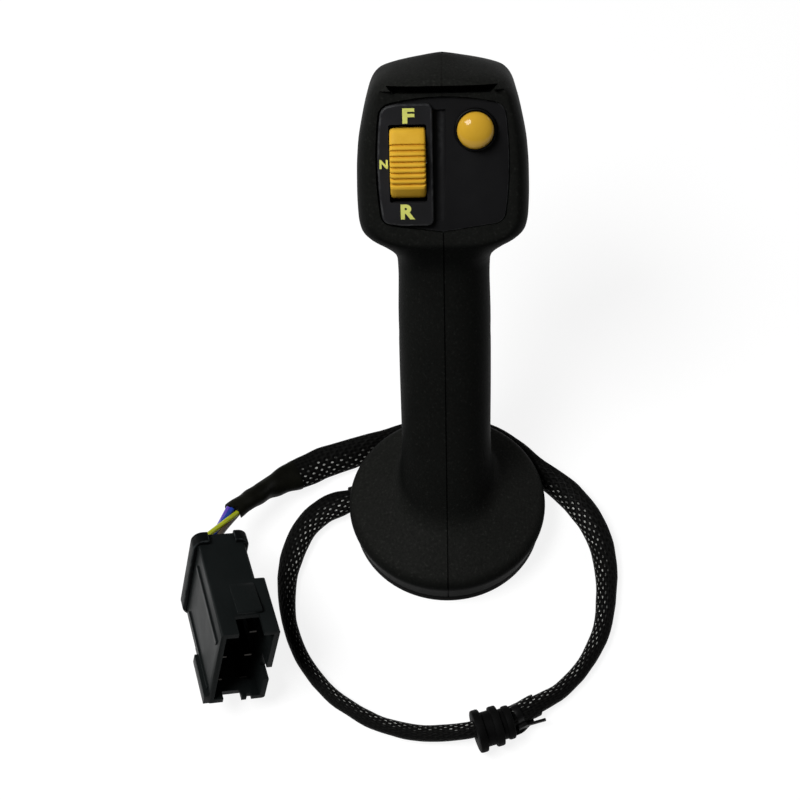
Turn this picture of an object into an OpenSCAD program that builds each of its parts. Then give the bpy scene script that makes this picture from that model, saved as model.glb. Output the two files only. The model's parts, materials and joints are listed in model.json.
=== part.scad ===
// Hand-grip joystick for a loading machine: a two-piece grip on a round skirted flange, with a
// direction rocker and a push button in its head, and a sleeved harness that ends in a plug.
// Millimetres, +Z up, +Y to the back. The origin is the centre of the flange's bottom face.

/* [Flange] */
// Radius of the rim where the cone meets the skirt
rim_r = 42.5; // [41.5:0.5:44]
// Radius of the skirt at its foot
foot_r = 40.3; // [39.8:0.1:41]
// Height of the rim above the bottom face
rim_z = 18; // [17:0.5:19]
// Radius of the rounded rim
rim_fillet = 3.3; // [2:0.1:4]
// Slope of the cone, in degrees
cone_slope = 24; // [20:1:26]
// Height of the base ring
ring_h = 4.3; // [3.5:0.1:5]
// Inner radius of the base ring
ring_r = 31; // [28:0.5:33]

/* [Handle] */
// Backward lean of the grip, in degrees
lean = 30; // [28:1:32]
// Wall of the grip's two halves
wall = 2.8; // [2.4:0.1:3.2]
// Place of the cross bolt along the grip
bolt_s = 80; // [76:1:86]

/* [Lever socket] */
// Bore for the machine's lever
lever_d = 12; // [10:0.5:13]
// Outer diameter of the socket
socket_d = 18; // [17:0.5:18.5]
// Length of the socket
socket_len = 72; // [60:1:74]

/* [Control panel] */
// Half height of the panel, bottom point to top arch
panel_half_h = 25; // [24.5:0.5:25.5]
// Half width of the panel at its middle
panel_half_w = 25; // [24.5:0.5:25.5]
// Thickness of the panel
panel_t = 2.5; // [2.2:0.1:3]
// Backward tilt of the panel against the grip, in degrees
panel_tilt = 8; // [7:1:9]

/* [Direction rocker] */
// Width of the thumb rocker
rocker_w = 13.3; // [12.8:0.1:13.6]
// Length of the thumb rocker
rocker_len = 25.8; // [25:0.1:26.2]
// Turn of the rocker to each side, in degrees
rocker_turn = 10; // [8:0.5:10]
// Height of the bezel above the panel
bezel_h = 3; // [2.6:0.1:3.2]

/* [Push button] */
// Diameter of the domed cap
cap_d = 13.5; // [12.5:0.1:13.6]
// Travel of the push button
button_travel = 1.8; // [1:0.1:1.8]

/* [Harness] */
// Outer diameter of the slotted grommet
grommet_d = 17; // [16:0.5:18]
// Length of the slotted grommet
grommet_len = 15.2; // [14:0.1:16]
// Diameter of one wire at the plug
wire_d = 2; // [1.6:0.1:2.2]

/* [Plug] */
// Width of the plug's shroud
plug_w = 23.2; // [22.8:0.1:24]
// Height of the plug's shroud
plug_h = 42; // [41:0.5:43]
// Length of the plug, mouth to rear face
plug_len = 52; // [50:0.5:54]
// Length of the plug's shroud
shroud_len = 27; // [25.5:0.5:28.5]
// Wall of the plug's shroud
plug_wall = 2.2; // [1.8:0.1:2.6]

/* [Hidden] */
$fn = 64;

// Clearances
slide_gap = 0.06;
pin_gap = 0.05;
fit_gap = 0.2;
free_gap = 0.3;

// ---------------------------------------------------------------- frames

// Frame of the handle: z runs up the grip's axis, y to its back.
module in_handle() {
  translate([0, 0, rim_z]) rotate([-lean, 0, 0]) children();
}

// Middle of the panel's face, on the handle's own axes
panel_q = -23;
panel_s = 154.3;

// Frame of the panel: x to the right, y up its face, z out of its face.
module in_panel() {
  in_handle() translate([0, panel_q, panel_s]) rotate([90 - panel_tilt, 0, 0]) children();
}

// A point given as [x, back, along] in the handle, in the part's own frame
function from_handle(p) = [
  p[0],
  p[2] * sin(lean) + p[1] * cos(lean),
  rim_z + p[2] * cos(lean) - p[1] * sin(lean)
];

// A point given on the panel's own axes as [right, up, out], in the part's own frame
function from_panel(p) = from_handle([
  p[0],
  panel_q + p[1] * sin(panel_tilt) - p[2] * cos(panel_tilt),
  panel_s + p[1] * cos(panel_tilt) + p[2] * sin(panel_tilt)
]);

// Plug: where its mouth's bottom edge has its middle, and how it lies
plug_place = [-85.1, -90, 14];
plug_yaw = 17.7;
plug_nose_up = 11;
plug_roll = 18;

// Frame of the plug: x to the right of the mouth, y from the mouth to the rear, z up.
module in_plug() {
  translate(plug_place) rotate([0, 0, plug_yaw]) rotate([-plug_nose_up, 0, 0])
    rotate([0, plug_roll, 0]) children();
}

// Points turned about one axis each
function turn_x(p, a) = [p[0], p[1] * cos(a) - p[2] * sin(a), p[1] * sin(a) + p[2] * cos(a)];
function turn_y(p, a) = [p[0] * cos(a) + p[2] * sin(a), p[1], p[2] * cos(a) - p[0] * sin(a)];
function turn_z(p, a) = [p[0] * cos(a) - p[1] * sin(a), p[0] * sin(a) + p[1] * cos(a), p[2]];

// A point on the plug's own axes, in the part's own frame
function from_plug(p) = plug_place
  + turn_z(turn_x(turn_y(p, plug_roll), -plug_nose_up), plug_yaw);

// ---------------------------------------------------------------- lofts and tubes

// Grip and head, station by station: [along the axis, half width, front depth, back depth,
// squareness]. Front and back depths are measured from the axis.
stations = [
  [-4, 24.4, 21.5, 23, 2.3],
  [4, 21.6, 21.5, 22.5, 2.3],
  [14, 19.9, 21.2, 21.5, 2.4],
  [36, 18.6, 20.8, 21, 2.4],
  [60, 18.7, 21, 21.2, 2.4],
  [90, 18.5, 21.3, 21.5, 2.4],
  [104, 18.1, 21.5, 21.5, 2.4],
  [111, 18.3, 22, 21.6, 2.5],
  [115, 19.4, 23, 21.8, 2.7],
  [118, 21.7, 24.4, 22, 2.9],
  [121, 25.2, 26.2, 22.3, 3.2],
  [124.5, 29.5, 28.8, 22.6, 3.7],
  [128, 31.8, 30.6, 23, 4.1],
  [133, 32.5, 31.4, 23.4, 4.5],
  [140, 32.7, 30.4, 23.8, 4.6],
  [150, 32.5, 29, 24, 4.6],
  [160, 31.7, 27.6, 23.6, 4.6],
  [168, 30.2, 26.6, 22.4, 4.5],
  [175, 28.2, 26, 20.6, 4.2],
  [180, 26.2, 25.8, 18.8, 4],
  [183.5, 23.6, 25.2, 17, 3.6],
  [185.5, 20.6, 24, 15.5, 3.2],
  [187, 16.6, 19.5, 13, 2.8],
  [188.6, 9.8, 12, 9, 2.4],
  [190.4, 1, 2, 2, 2]
];

// Points round half a section, from its front on the middle plane to its back
half_points = 16;

function power(v, n) = sign(v) * pow(abs(v), 2 / n);

// Half of a rounded-square section: half width a, front depth f, back depth b, squareness n
function half_section(a, f, b, n) = [
  for (k = [0:half_points])
    let (t = -90 + 180 * k / half_points, side = k == 0 || k == half_points ? 0 : cos(t))
    [a * power(side, n), (t < 0 ? f : b) * power(sin(t), n)]
];

// Whole section, going on round the other side
function whole_section(a, f, b, n) = let (half = half_section(a, f, b, n)) concat(
  half,
  [for (k = [half_points - 1:-1:1]) [-half[k][0], half[k][1]]]
);

// Solid through a list of rings with equal counts of points
module loft(rings) {
  n = len(rings[0]);
  last = len(rings) - 1;
  polyhedron(
    points = [for (ring = rings) each ring],
    faces = concat(
      [[for (k = [0:n - 1]) k]],
      [for (i = [0:last - 1], k = [0:n - 1])
        let (a = i * n + k, b = i * n + (k + 1) % n)
        each [[a, a + n, b + n], [a, b + n, b]]],
      [[for (k = [n - 1:-1:0]) last * n + k]]
    )
  );
}

// Right half of the handle's outer shape, closed along the middle plane
module half_handle() {
  loft([
    for (st = stations)
      [for (p = half_section(st[1], st[2], st[3], st[4])) [p[0], p[1], st[0]]]
  ]);
}

// How far the panel's face is in front of the axis, at a height along it
function panel_depth(s) = -panel_q - (s - panel_s) * tan(panel_tilt);

// Space behind the panel's face that the shell's front wall and ledge take up
front_wall = 6.2;

// The hollow inside the handle, a wall's thickness smaller and stopped short of the roof
module handle_hollow() {
  loft([
    for (i = [0:len(stations) - 5])
      let (
        st = stations[i],
        f = min(st[2] - wall, panel_depth(st[0]) - front_wall),
        s = i == 0 ? st[0] - 4 : st[0]
      )
      [for (p = whole_section(st[1] - wall, f, st[3] - wall, st[4])) [p[0], p[1], s]]
  ]);
}

// Smooth curve through a list of points: [x, y, z, width, thickness, turn] each
function curve_mid(a, b, c, d, t) = 0.5 * (
  2 * b + (c - a) * t + (2 * a - 5 * b + 4 * c - d) * t * t
  + (3 * b - a - 3 * c + d) * t * t * t
);
function curve(route, steps) = let (last = len(route) - 1) concat(
  [for (i = [0:last - 1], j = [0:steps - 1])
    curve_mid(route[max(i - 1, 0)], route[i], route[i + 1], route[min(i + 2, last)], j / steps)],
  [route[last]]
);

function unit(v) = v / norm(v);
function xyz(p) = [p[0], p[1], p[2]];

// Ring of a flat tube at point i of a path, square to the path. The width lies level when
// the turn is zero, and stands up as it grows to 90 degrees.
function ring_at(path, i, sides) = let (
  last = len(path) - 1,
  along = unit(xyz(path[min(i + 1, last)]) - xyz(path[max(i - 1, 0)])),
  level = unit(cross([0, 0, 1], along)),
  upward = cross(along, level),
  p = path[i],
  w = level * cos(p[5]) + upward * sin(p[5]),
  h = upward * cos(p[5]) - level * sin(p[5])
) [for (k = [0:sides - 1]) let (t = 360 * k / sides)
    xyz(p) + w * p[3] / 2 * cos(t) + h * p[4] / 2 * sin(t)];

// Flat tube swept along a route of [x, y, z, width, thickness, turn]
module sleeve_along(route, steps, sides) {
  path = curve(route, steps);
  loft([for (i = [0:len(path) - 1]) ring_at(path, i, sides)]);
}

// Round tube of one diameter along plain points
module tube_along(route, d, steps = 2, sides = 8) {
  sleeve_along([for (p = route) [p[0], p[1], p[2], d, d, 0]], steps, sides);
}

// ---------------------------------------------------------------- flange

cone_rise = tan(cone_slope);
arc_r = rim_r - rim_fillet;
arc_z = rim_z - 2.6;
skirt_slope = 11;
flange_wall = 2.9;
collar_r = 15;
skirt_in_r = foot_r - flange_wall;

// Height of the cone's surface at a radius
function cone_z(r) = arc_z + rim_fillet * cos(cone_slope) + (arc_r + rim_fillet * sin(cone_slope) - r) * cone_rise;

// Outline of the flange's solid: foot, skirt, rounded rim and cone
module flange_outline() {
  polygon(concat(
    [[0, ring_h], [foot_r, ring_h]],
    [for (t = [-skirt_slope:(90 - cone_slope + skirt_slope) / 6:91 - cone_slope])
      [arc_r + rim_fillet * cos(t), arc_z + rim_fillet * sin(t)]],
    [[collar_r, cone_z(collar_r)], [0, cone_z(collar_r)]]
  ));
}

// Outline of the hollow under the flange
module flange_hollow_outline() {
  polygon([
    [0, -6], [skirt_in_r, -6], [skirt_in_r, ring_h], [skirt_in_r + 0.8, arc_z - 1],
    [arc_r - 2, cone_z(arc_r - 2) - 3.4], [8, cone_z(8) - 3.4], [0, cone_z(8) - 3.4]
  ]);
}

// Cable exit: its middle on the skirt, its heading and its arched size
exit_place = [-(rim_r - 1), 7, 0];
exit_heading = 198;
exit_w = 12;
exit_spring = 4.5;

// Arched solid along the cable exit's heading, from start to stop, with its foot at low
module exit_arch(start, stop, low = -1) {
  translate(exit_place) rotate([0, 0, exit_heading]) rotate([90, 0, 90])
    translate([0, 0, start]) linear_extrude(stop - start) polygon(concat(
      [[-exit_w / 2, low], [exit_w / 2, low]],
      [for (t = [0:15:180]) [exit_w / 2 * cos(t), exit_spring + exit_w / 2 * sin(t)]]
    ));
}

// Ring screws: four, two in each half, on a circle inside the skirt
ring_screw_r = 34.4;
ring_screw_angles = [35, 145, 215, 325];
ring_screw_d = 2.5;
ring_boss_d = 7;

module at_ring_screws(angles) {
  for (a = angles) rotate([0, 0, a]) translate([ring_screw_r, 0, 0]) children();
}

// ---------------------------------------------------------------- shells

// Shell screws, as [along the axis, back from it, length of the boss]
shell_screw_places = [[24, 13.2, 12.6], [98, 13.2, 12.6], [130, 13, 28.5], [176, 6, 25.8]];
screw_d = 2.5;
screw_seat = 7;
screw_reach = 9;
screw_head_d = 4.8;
screw_well_d = 5.4;
screw_boss_d = 7.4;

// Cross bolt
bolt_d = 4;
bolt_boss_d = 13;
bolt_seat = 13;
bolt_well_d = 8.6;
bolt_head_d = 7;

// Ribs that hold the lever socket
rib_places = [8, 52];
rib_t = 3;
lead_q = -13.5;
lead_d = 4.6;

// Hood over the panel: how far up the panel's frame the front is cut, and the slot above it
frame_lip = 1.5;
cut_top = 27;
hood_slot_w = 40;
hood_slot_low_w = 33;
hood_slot_top = 30;
hood_slot_foot = 26;

// Side bow, top arch and bottom point of the panel's outline
corner_half_w = panel_half_w - 3.2;
corner_top = panel_half_h - 3;
corner_foot = -(panel_half_h - 3.4);
outline_steps = 6;
function bow(t, from, to, rise) = from + (to - from) * t + rise * 4 * t * (1 - t);

// Panel's outline, grown or shrunk
module panel_outline(grow) {
  side_bow = panel_half_w - (corner_half_w + corner_half_w) / 2;
  ts = [for (i = [0:outline_steps - 1]) i / outline_steps];
  offset(delta = grow) offset(r = 3) offset(delta = -3) polygon(concat(
    [for (t = ts) [bow(t, corner_half_w, corner_half_w, side_bow), bow(t, corner_foot, corner_top, 0)]],
    [for (t = ts) [bow(t, corner_half_w, -corner_half_w, 0), bow(t, corner_top, corner_top, 3)]],
    [for (t = ts) [-bow(t, corner_half_w, corner_half_w, side_bow), bow(t, corner_top, corner_foot, 0)]],
    [[-corner_half_w, corner_foot], [0, -panel_half_h]]
  ));
}

// What the head's front gives up for the panel, its frame and the hood's slot
module head_front_cuts() {
  in_panel() {
    translate([-45, -60, frame_lip]) cube([90, 60 + cut_top, 40]);
    translate([0, 0, -panel_t]) linear_extrude(40) panel_outline(fit_gap);
    translate([0, 0, -16]) linear_extrude(20) panel_outline(-2.4);
    translate([0, 0, -1.5]) linear_extrude(40) polygon([
      [-hood_slot_low_w / 2, hood_slot_foot], [hood_slot_low_w / 2, hood_slot_foot],
      [hood_slot_w / 2, hood_slot_top], [-hood_slot_w / 2, hood_slot_top]
    ]);
  }
}

// Cylinder across the grip from x = from to x = to
module across(s, q, from, to, d, sides = 0) {
  in_handle() translate([from, q, s]) rotate([0, 90, 0])
    cylinder(h = to - from, d = d, $fn = sides > 0 ? sides : $fn);
}

// Bosses and ribs inside the right half; the left half mirrors them
module half_inside() {
  for (p = shell_screw_places) across(p[0], p[1], 0, p[2], screw_boss_d);
  across(bolt_s, 0, 0, bolt_seat + 2.5, bolt_boss_d);
  in_handle() for (s = rib_places) translate([0, 0, s]) linear_extrude(rib_t)
    polygon(half_section(17, 19.4, 19.6, 2.4));
  at_ring_screws([35, 325]) translate([0, 0, ring_h + fit_gap]) cylinder(h = 14, d = ring_boss_d);
}

// Right half before the holes that only one half has
module plain_half() {
  difference() {
    union() {
      difference() {
        union() {
          in_handle() half_handle();
          rotate([0, 0, -90]) rotate_extrude(angle = 180) flange_outline();
        }
        in_handle() handle_hollow();
        rotate_extrude() flange_hollow_outline();
      }
      half_inside();
    }
    head_front_cuts();
    in_handle() translate([0, 0, -20]) cylinder(h = 20 + socket_foot + socket_len, d = socket_d);
    in_handle() for (s = rib_places) translate([0, lead_q, s + rib_t / 2])
      cube([7, 6.4, rib_t + 2], center = true);
    across(bolt_s, 0, -1, bolt_seat + 17, bolt_d + 2 * fit_gap);
    across(bolt_s, 0, bolt_seat, bolt_seat + 17, bolt_well_d);
    at_ring_screws([35, 325]) cylinder(h = 14, d = ring_screw_d);
  }
}

module right_shell() {
  color("#202021") difference() {
    plain_half();
    for (p = shell_screw_places) {
      across(p[0], p[1], -1, screw_seat + 1, screw_d + 2 * fit_gap);
      across(p[0], p[1], screw_seat, 45, screw_well_d);
    }
  }
}

module left_shell() {
  color("#1e1e1f") difference() {
    mirror([1, 0, 0]) plain_half();
    for (p = shell_screw_places) across(p[0], p[1], -screw_reach - 2, 1, screw_d);
    exit_arch(-12, 12);
    in_panel() translate([rocker_u - switch_half_w - free_gap, switch_foot - free_gap, -switch_depth - free_gap])
      cube([2 * (switch_half_w + free_gap), switch_top - switch_foot + 2 * free_gap, switch_depth]);
  }
}

module base_ring() {
  color("#161616") difference() {
    rotate_extrude() polygon([
      [ring_r, 0], [foot_r - 0.6, 0], [foot_r, 0.6], [foot_r, ring_h],
      [skirt_in_r - fit_gap, ring_h], [skirt_in_r - fit_gap, ring_h - fit_gap], [ring_r, ring_h - fit_gap]
    ]);
    exit_arch(-14, 12);
    at_ring_screws(ring_screw_angles) {
      translate([0, 0, -1]) cylinder(h = 12, d = ring_screw_d + 2 * fit_gap);
      translate([0, 0, -1]) cylinder(h = 3, d = screw_well_d);
    }
  }
}

// Pan-head screw, its head's seat at z = 0 and its shank upward
module pan_screw(d, head_d, head_h, length) {
  translate([0, 0, -head_h]) cylinder(h = head_h, d = head_d);
  cylinder(h = length, d = d);
}

module ring_screws() {
  color("#8d8f92") at_ring_screws(ring_screw_angles)
    translate([0, 0, 2]) pan_screw(ring_screw_d, screw_head_d, 1.8, 10);
}

module shell_screws() {
  color("#2c2d2f") for (p = shell_screw_places) in_handle()
    translate([screw_seat, p[1], p[0]]) rotate([0, -90, 0])
      pan_screw(screw_d, screw_head_d, 2.2, screw_seat + screw_reach);
}

module cross_bolt() {
  color("#2a2b2d") difference() {
    in_handle() translate([bolt_seat, 0, bolt_s]) rotate([0, -90, 0])
      pan_screw(bolt_d, bolt_head_d, 3.4, 2 * bolt_seat + 4);
    across(bolt_s, 0, bolt_seat + 1.6, bolt_seat + 4, 3.4, 6);
  }
}

module cross_nut() {
  color("#8d8f92") difference() {
    across(bolt_s, 0, -bolt_seat - 3.2, -bolt_seat, 8.08, 6);
    across(bolt_s, 0, -bolt_seat - 4, -bolt_seat + 1, bolt_d);
  }
}

// ---------------------------------------------------------------- lever socket

socket_foot = -6;
set_screw_places = [16, 34];
set_screw_d = 5;

module lever_socket() {
  color("#a9abae") in_handle() difference() {
    translate([0, 0, socket_foot]) cylinder(h = socket_len, d = socket_d);
    translate([0, 0, socket_foot - 1]) cylinder(h = socket_len - 5, d = lever_d);
    for (s = set_screw_places) translate([0, 0, s]) rotate([0, -90, 0]) cylinder(h = 12, d = set_screw_d);
  }
}

module set_screws() {
  color("#3a3b3d") in_handle() for (s = set_screw_places) translate([0, 0, s]) rotate([0, -90, 0])
    difference() {
      translate([0, 0, lever_d / 2 + 0.4]) cylinder(h = 3.2, d = set_screw_d);
      translate([0, 0, lever_d / 2 + 2]) cylinder(h = 3, d = 2.9, $fn = 6);
    }
}

// ---------------------------------------------------------------- panel and rocker

// Bezel: its right edge, its foot and its top on the panel
bezel_right = -3.5;
bezel_foot = -22;
bezel_top = 22.8;
bezel_left = -24.5;

// Rocker: middle of its window and depth of its pivot below the bezel's top
rocker_u = -12.7;
rocker_v = 1.1;
pivot_depth = 7;
pivot_n = bezel_h - pivot_depth;
window_w = rocker_w + 2 * free_gap;
window_len = rocker_len + 2.8;
switch_half_w = 8.3;
switch_foot = -20;
switch_top = 21.2;
switch_depth = 22;

// Button: its place on the panel and its bushing
button_u = 12.1;
button_v = 12.9;
barrel_d = 11.8;
collar_d = 15.8;
stem_d = 4;

module at_rocker() {
  in_panel() translate([rocker_u, rocker_v, pivot_n]) children();
}

module at_button() {
  in_panel() translate([button_u, button_v, 0]) children();
}

module control_panel() {
  color("#262728") in_panel() difference() {
    translate([0, 0, -panel_t]) linear_extrude(panel_t) panel_outline(0);
    translate([rocker_u - switch_half_w - free_gap, switch_foot - free_gap, -panel_t - 1])
      cube([2 * (switch_half_w + free_gap), switch_top - switch_foot + 2 * free_gap, panel_t + 2]);
    translate([bezel_right + 0.3, -21, -1.7]) cube([4.7, 41.4, 4]);
    translate([button_u, button_v, -panel_t - 1]) cylinder(h = panel_t + 2, d = barrel_d + 2 * fit_gap);
  }
}

module bezel_outline() {
  offset(r = 2.6) offset(delta = -2.6) intersection() {
    panel_outline(-0.7);
    translate([bezel_left, bezel_foot]) square([bezel_right - bezel_left, bezel_top - bezel_foot]);
  }
}

module rocker_bezel() {
  color("#222324") in_panel() difference() {
    linear_extrude(bezel_h) bezel_outline();
    translate([rocker_u - window_w / 2, rocker_v - window_len / 2, -1]) cube([window_w, window_len, bezel_h + 2]);
  }
}

// Rocker's crown: radius from its length and its rise over the ends
crown_rise = 3;
crown_end = pivot_depth + 1.2;
half_len = rocker_len / 2;
crown_r = (half_len * half_len + crown_rise * crown_rise) / (2 * crown_rise);
crown_mid = crown_end + crown_rise - crown_r;
groove_pitch = 2.05;
end_margin = 4.6;
groove_count = floor((rocker_len - 2 * end_margin) / groove_pitch);
groove_first = -(groove_count - 1) * groove_pitch / 2;
edge_round = 1.1;

function crown(v) = crown_mid + sqrt(crown_r * crown_r - v * v);

// Side outline of the rocker about its pivot, with the grip grooves cut across its crown
module rocker_side() {
  flat_end = half_len - edge_round;
  polygon(concat(
    [[-half_len, 5], [-half_len, crown(flat_end) - edge_round * 1.4],
     [-half_len + 0.35, crown(flat_end) - edge_round * 0.45], [-flat_end, crown(flat_end)]],
    [for (v = [-flat_end + 1.6, -flat_end + 3.2]) [v, crown(v)]],
    [for (i = [0:groove_count - 1]) let (v = groove_first + i * groove_pitch)
      each [[v - 0.5, crown(v - 0.5)], [v - 0.28, crown(v) - 0.6], [v + 0.28, crown(v) - 0.6], [v + 0.5, crown(v + 0.5)]]],
    [for (v = [flat_end - 2.6, flat_end - 1.3]) [v, crown(v)]],
    [[flat_end, crown(flat_end)], [half_len - 0.35, crown(flat_end) - edge_round * 0.45],
     [half_len, crown(flat_end) - edge_round * 1.4], [half_len, 5], [7, -2.5], [-7, -2.5]]
  ));
}

module direction_rocker() {
  color("#e0a51c") at_rocker() difference() {
    translate([rocker_w / 2, 0, 0]) rotate([90, 0, -90]) linear_extrude(rocker_w) rocker_side();
    translate([-rocker_w, 0, 0]) rotate([0, 90, 0]) cylinder(h = 2 * rocker_w, d = rocker_pin_d + 2 * pin_gap);
    translate([0, 0, -4]) cylinder(h = 2.2, d = plunger_d + 2 * pin_gap);
  }
}

rocker_pin_d = 2.4;
plunger_d = 2.4;
plunger_reach = 8.6;
cam_r = 10.4;

module rocker_pin() {
  color("#b9bbbe") at_rocker() translate([-switch_half_w, 0, 0]) rotate([0, 90, 0])
    cylinder(h = 2 * switch_half_w, d = rocker_pin_d);
}

module detent_plunger() {
  color("#d8d4c8") at_rocker() {
    translate([0, 0, -plunger_reach]) cylinder(h = plunger_reach - 1.9, d = plunger_d);
    translate([0, 0, -plunger_reach]) sphere(d = plunger_d);
  }
}

module detent_cam() {
  color("#c9c4b4") at_rocker() difference() {
    translate([-6, -8, -15.5]) cube([12, 16, 6.5]);
    translate([-10, 0, 0]) rotate([0, 90, 0]) cylinder(h = 20, r = cam_r);
    for (a = [-rocker_turn, 0, rocker_turn]) rotate([a, 0, 0]) translate([-10, 0, -cam_r])
      rotate([0, 90, 0]) cylinder(h = 20, r = 0.9);
  }
}

module rocker_switch_body() {
  color("#1a1a1c") in_panel() difference() {
    translate([rocker_u - switch_half_w, switch_foot, -switch_depth])
      cube([2 * switch_half_w, switch_top - switch_foot, switch_depth]);
    translate([rocker_u - window_w / 2, rocker_v - window_len / 2 - 0.4, pivot_n - 15.5])
      cube([window_w, window_len + 0.8, 30]);
    translate([rocker_u - 20, rocker_v, pivot_n]) rotate([0, 90, 0]) cylinder(h = 40, d = rocker_pin_d);
  }
}

terminal_h = 6;
module rocker_terminals() {
  color("#c9a24b") in_panel() for (u = [-5, 5], v = [-12, 0, 12])
    translate([rocker_u + u - 0.4, rocker_v + v - 1.4, -switch_depth - terminal_h]) cube([0.8, 2.8, terminal_h]);
}

// ---------------------------------------------------------------- push button

cap_foot = button_travel + 0.7;
cap_skirt = 1.3;
cap_top = cap_foot + 4.6;
cap_rise = cap_top - cap_foot - cap_skirt;
dome_r = (cap_d * cap_d / 4 + cap_rise * cap_rise) / (2 * cap_rise);
stem_foot = -10;

module button_cap() {
  color("#f2c21d") at_button() difference() {
    union() {
      translate([0, 0, cap_foot]) cylinder(h = cap_skirt, d = cap_d);
      intersection() {
        translate([0, 0, cap_top - dome_r]) sphere(r = dome_r);
        translate([0, 0, cap_foot + cap_skirt]) cylinder(h = 10, d = cap_d);
      }
    }
    translate([0, 0, cap_foot - 1]) cylinder(h = 1 + cap_skirt + 0.9, d = 9);
    translate([0, 0, cap_foot]) cylinder(h = cap_skirt + 2, d = 2.6);
  }
}

module button_stem() {
  color("#ded9cc") at_button() {
    translate([0, 0, stem_foot]) cylinder(h = cap_foot + cap_skirt + 0.9 - stem_foot, d = stem_d);
    translate([0, 0, cap_foot]) cylinder(h = cap_skirt + 2, d = 2.6);
  }
}

module button_spring() {
  color("#b9bbbe") at_button() difference() {
    translate([0, 0, 0.4]) cylinder(h = cap_foot + cap_skirt + 0.5, d = 7.6);
    translate([0, 0, -1]) cylinder(h = 10, d = 5.8);
  }
}

module button_collar() {
  color("#151516") at_button() difference() {
    union() {
      cylinder(h = 1.8, d = collar_d);
      translate([0, 0, -9]) cylinder(h = 9.4, d = barrel_d);
    }
    translate([0, 0, 0.4]) cylinder(h = 4, d = cap_d + 2 * fit_gap);
    translate([0, 0, -10]) cylinder(h = 14, d = stem_d + 2 * slide_gap);
  }
}

module button_washer() {
  color("#9c9ea1") at_button() difference() {
    translate([0, 0, -panel_t - 0.6]) cylinder(h = 0.6, d = 16.5);
    translate([0, 0, -panel_t - 1]) cylinder(h = 2, d = barrel_d);
  }
}

module button_nut() {
  color("#9c9ea1") at_button() difference() {
    translate([0, 0, -panel_t - 3.4]) cylinder(h = 2.8, d = 17, $fn = 6);
    translate([0, 0, -panel_t - 4]) cylinder(h = 4, d = barrel_d);
  }
}

module button_switch_body() {
  color("#1a1a1c") at_button() difference() {
    translate([-6.5, -6.5, -19]) cube([13, 13, 10]);
    translate([0, 0, -13]) cylinder(h = 6, d = 6);
  }
}

module button_terminals() {
  color("#c9a24b") at_button() for (u = [-3, 3])
    translate([u - 0.4, -1.4, -button_end]) cube([0.8, 2.8, 5]);
}

// ---------------------------------------------------------------- leads inside

main_lead_route = [
  [-34, 9.5, 5.4], [-30.5, 8.6, 7.1], [-27, 8, 7.8], [-18, -1, 9.6], [-9, -10, 15],
  from_handle([0, lead_q, 0]), from_handle([0, lead_q, 12]), from_handle([0, lead_q, 30]),
  from_handle([0, lead_q, 60]), from_handle([0, lead_q, 96]), from_handle([0, -7, 112]),
  from_handle([-3, 1, 122]), from_handle([-6, 4, 131])
];
fan = from_handle([-6, 4, 131]);

lead_wire_d = 1.6;
terminal_end = switch_depth + terminal_h;
button_end = 24;

module main_leads() {
  color("#232325") tube_along(main_lead_route, lead_d, 2, 8);
}

module rocker_leads() {
  color("#7a5a2c") for (v = [-12, 0, 12]) tube_along([
    fan, from_panel([rocker_u + 2, -16, -terminal_end - 3]),
    from_panel([rocker_u - 5, rocker_v + v - 1, -terminal_end - 4]),
    from_panel([rocker_u - 5, rocker_v + v, -terminal_end - 2]),
    from_panel([rocker_u - 5, rocker_v + v, -terminal_end - 0.1])
  ], lead_wire_d, 3, 8);
}

module button_leads() {
  color("#8a3fb0") for (u = [-3, 3]) tube_along([
    fan, from_panel([2, -14, -terminal_end - 2]), from_panel([button_u + u, 4, -button_end - 6]),
    from_panel([button_u + u, button_v, -button_end - 3]),
    from_panel([button_u + u, button_v, -button_end - 0.1])
  ], lead_wire_d, 3, 8);
}

// ---------------------------------------------------------------- harness

exit_gland_start = -6;
exit_gland_stop = 0.6;
sleeve_w = 10.4;
sleeve_h = 7.2;

// Round-ended slot, w by h
function slot_points(w, h) = [for (side = [1, -1], t = [-90:18:90])
  [side * ((w - h) / 2 + h / 2 * cos(t)), side * h / 2 * sin(t)]];

// Rubber lining of the cable exit, with a slot for the flat sleeve
module exit_grommet() {
  color("#101010") difference() {
    exit_arch(exit_gland_start, exit_gland_stop, 0.4);
    translate(exit_place) rotate([0, 0, exit_heading]) rotate([90, 0, 90])
      translate([0, 5, exit_gland_start - 1]) linear_extrude(12) polygon(slot_points(sleeve_w, sleeve_h));
  }
}

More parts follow.
